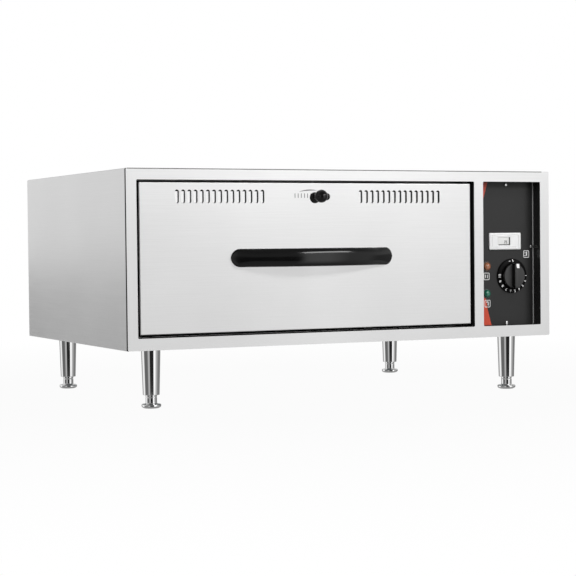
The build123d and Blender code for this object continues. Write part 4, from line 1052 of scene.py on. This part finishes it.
# Name, place, target, width, height in metres, power in watts, and whether metal shows it
STUDIO_LAMPS = [
    ("key", (1.05, -2.05, 1.13), (-0.06, -0.235, 0.22), 1.5, 0.36, 11.5, True),
    ("fill", (-2.2, -1.2, 1.6), (0, 0, 0.2), 1.2, 1.2, 6, False),
    ("rear_left", (-0.9, 1.5, 0.68), (-0.9, 0, 0.68), 1.2, 1.0, 1.7, True),
    ("top", (0, 0.3, 2.2), (0, 0, 0.3), 1.6, 1.6, 12, False),
    ("front", (0.5, -2.3, 0.9), (0.2, -0.24, 0.2), 1.2, 0.9, 4, False),
    ("crown", (0.35, -1.5, 1.73), (0.3, -0.22, 0.2), 0.8, 0.5, 10, False),
]


def seen_directly(tree, paths):
    """1 for rays from the camera, also through clear plastic, and 0 for all others."""
    return add_node(tree, "Math", {
        0: paths.outputs["Is Camera Ray"], 1: paths.outputs["Is Transmission Ray"],
    }, operation="MAXIMUM")


def pale_floor():
    """A pale disc that turns to plain white towards its edge and keeps a soft shadow."""
    radius = sizes().floor_radius
    reach = np.linspace(0, 1, 24)[1:] ** 1.5 * radius
    points, faces = turned(np.stack([reach, 0 * reach], -1), (0, 0, 0), "up", 96)
    mesh = bpy.data.meshes.new("floor")
    mesh.from_pydata(points.tolist(), [], faces)
    material, tree = new_material("pale_floor")
    place = add_node(tree, "TexCoord")
    distance = add_node(tree, "VectorMath", {0: place.outputs["Object"]}, operation="LENGTH")
    fade = add_node(tree, "MapRange", {
        "Value": distance, "From Min": 0.5, "From Max": radius * 0.9, "To Min": 0.965,
    })
    seen = seen_directly(tree, add_node(tree, "LightPath"))
    share = add_node(tree, "Math", {0: seen, 1: fade}, operation="MULTIPLY")
    plain = add_node(tree, "BsdfDiffuse", {"Color": linear("#f4f4f4")})
    white = add_node(tree, "Emission", {"Color": linear("#ffffff"), "Strength": 1.0})
    mixed = add_node(tree, "MixShader", {0: share, 1: plain, 2: white})
    add_node(tree, "OutputMaterial", {"Surface": mixed})
    mesh.materials.append(material)
    made = new_object("floor", mesh)
    made.visible_glossy = False


def near_nought(tree, value, start, end):
    """1 where a value is less than start away from 0, falling to 0 at end."""
    away = add_node(tree, "Math", {0: value}, operation="ABSOLUTE")
    return add_node(tree, "MapRange", {
        "Value": away, "From Min": start, "From Max": end, "To Min": 1.0, "To Max": 0.0,
    })


def wall_zone(tree, bearing, level, zone, share):
    """Blend a zone of the wall into its level: 1 inside its bearings, falling to 0 over its soft edge."""
    start, end, soft, bright = zone
    offset = add_node(tree, "Math", {0: bearing, 1: math.radians((start + end) / 2)}, operation="SUBTRACT")
    wrapped = add_node(tree, "Math", {0: offset, 1: math.pi, 2: -math.pi}, operation="WRAP")
    half = (end - start) / 2
    inside = near_nought(tree, wrapped, math.radians(half - soft), math.radians(half + soft))
    shared = add_node(tree, "Math", {0: inside, 1: share}, operation="MULTIPLY")
    return add_node(tree, "Mix", {"Factor": shared, 2: level, 3: bright}, data_type="FLOAT")


def surround():
    """White to the camera; to metal a studio whose walls change by compass bearing; grey to the rest."""
    world = bpy.data.worlds.new("studio")
    bpy.context.scene.world = world
    world.use_nodes = True
    # Light is traced from surfaces only, so that metal sees just what its own rays meet
    world.cycles.sampling_method = "NONE"
    tree = world.node_tree
    tree.nodes.clear()
    paths = add_node(tree, "LightPath")
    place = add_node(tree, "TexCoord")
    parts = add_node(tree, "SeparateXYZ", {0: place.outputs["Generated"]}).outputs
    bearing = add_node(tree, "Math", {0: parts["X"], 1: parts["Y"]}, operation="ARCTAN2")
    level = STUDIO_WALL
    for zone in STUDIO_ZONES:
        level = wall_zone(tree, bearing, level, zone, 1.0)
    # Low boards round the object, which only its legs show
    low, high = (math.sin(math.radians(v)) for v in BOARD_ELEVATIONS)
    half = (high - low) / 2
    above = add_node(tree, "Math", {0: parts["Z"], 1: (low + high) / 2}, operation="SUBTRACT")
    board = near_nought(tree, above, half, half + 0.03)
    for zone in STUDIO_BOARDS:
        level = wall_zone(tree, bearing, level, zone, board)
    ceiling = add_node(tree, "MapRange", {
        "Value": parts["Y"], "From Min": -0.25, "From Max": 0.2,
        "To Min": STUDIO_CEILING[0], "To Max": STUDIO_CEILING[1],
    })
    for start, end, bright in ((0.2, 0.55, ceiling), (-0.22, -0.7, STUDIO_FLOOR)):
        steep = add_node(tree, "MapRange", {"Value": parts["Z"], "From Min": start, "From Max": end})
        level = add_node(tree, "Mix", {"Factor": steep, 2: level, 3: bright}, data_type="FLOAT")
    glossy, dim, white = [add_node(tree, "Background", {"Color": linear("#ffffff"), "Strength": strength})
                          for strength in (level, STUDIO_FILL, 1.0)]
    soft = add_node(tree, "MixShader", {0: paths.outputs["Is Glossy Ray"], 1: dim, 2: glossy})
    mixed = add_node(tree, "MixShader", {0: seen_directly(tree, paths), 1: soft, 2: white})
    add_node(tree, "OutputWorld", {"Surface": mixed})


def stand(made, right, up, back, place):
    """Put an object at a place, with its own x, y and z along three directions."""
    axes = np.stack([right, up, back, place], -1).tolist()
    made.matrix_world = Matrix([*axes, (0, 0, 0, 1)])


def soft_box(name, place, target, width, height, power, mirrored):
    """A lamp that faces a target."""
    light = bpy.data.lights.new(name, "AREA")
    light.shape = "RECTANGLE"
    light.size = width
    light.size_y = height
    light.energy = power
    made = new_object(name, light)
    made.visible_glossy = mirrored
    away = np.subtract(place, target)
    away /= np.linalg.norm(away)
    right = np.cross((0, 0, 1), away)
    right /= np.linalg.norm(right)
    stand(made, right, np.cross(away, right), away, place)


def camera():
    """Where the photographer stood, from the fitted corners of the cabinet."""
    yaw, pitch, roll = sizes().camera_turn
    ahead = np.array([math.sin(yaw) * math.cos(pitch), math.cos(yaw) * math.cos(pitch), math.sin(pitch)])
    right = np.array([math.cos(yaw), -math.sin(yaw), 0.0])
    tilted, upright = turn_matrix(roll) @ np.stack([right, np.cross(right, ahead)])
    data = bpy.data.cameras.new("camera")
    data.lens = sizes().camera_lens
    data.sensor_width = SENSOR_WIDTH
    made = new_object("camera", data)
    stand(made, tilted, upright, -ahead, sizes().camera_place)
    bpy.context.scene.camera = made


class WARMING_OT_stage(Step, bpy.types.Operator):
    """Set the pale floor, the white surround, the soft lamps and the camera"""
    bl_idname = "warming.stage"
    bl_label = "Studio"

    def execute(self, context):
        pale_floor()
        surround()
        for lamp in STUDIO_LAMPS:
            soft_box(*lamp)
        camera()
        context.scene.view_settings.view_transform = "Standard"
        return {"FINISHED"}


class WARMING_PT_panel(bpy.types.Panel):
    """Lists the steps in the sidebar"""
    bl_label = "Warming drawer"
    bl_idname = "WARMING_PT_panel"
    bl_space_type = "VIEW_3D"
    bl_region_type = "UI"
    bl_category = "Warming drawer"

    def draw(self, context):
        for step in STEPS:
            self.layout.operator(step.bl_idname)
        for group in (context.scene.warming_drawer_sizes, context.scene.warming_drawer_colours):
            for name in group.__annotations__:
                self.layout.prop(group, name)


# Every operator, in the order of the classes above
STEPS = tuple(Step.__subclasses__())
CLASSES = (WarmingDrawerSizes, WarmingDrawerColours, *STEPS, WARMING_PT_panel)


def register():
    for cls in CLASSES:
        bpy.utils.register_class(cls)
    bpy.types.Scene.warming_drawer_sizes = bpy.props.PointerProperty(type=WarmingDrawerSizes)
    bpy.types.Scene.warming_drawer_colours = bpy.props.PointerProperty(type=WarmingDrawerColours)


def unregister():
    del bpy.types.Scene.warming_drawer_colours
    del bpy.types.Scene.warming_drawer_sizes
    for cls in reversed(CLASSES):
        bpy.utils.unregister_class(cls)


def main():
    register()
    for step in STEPS:
        group, name = step.bl_idname.split(".")
        getattr(getattr(bpy.ops, group), name)()


if __name__ == "__main__":
    main()
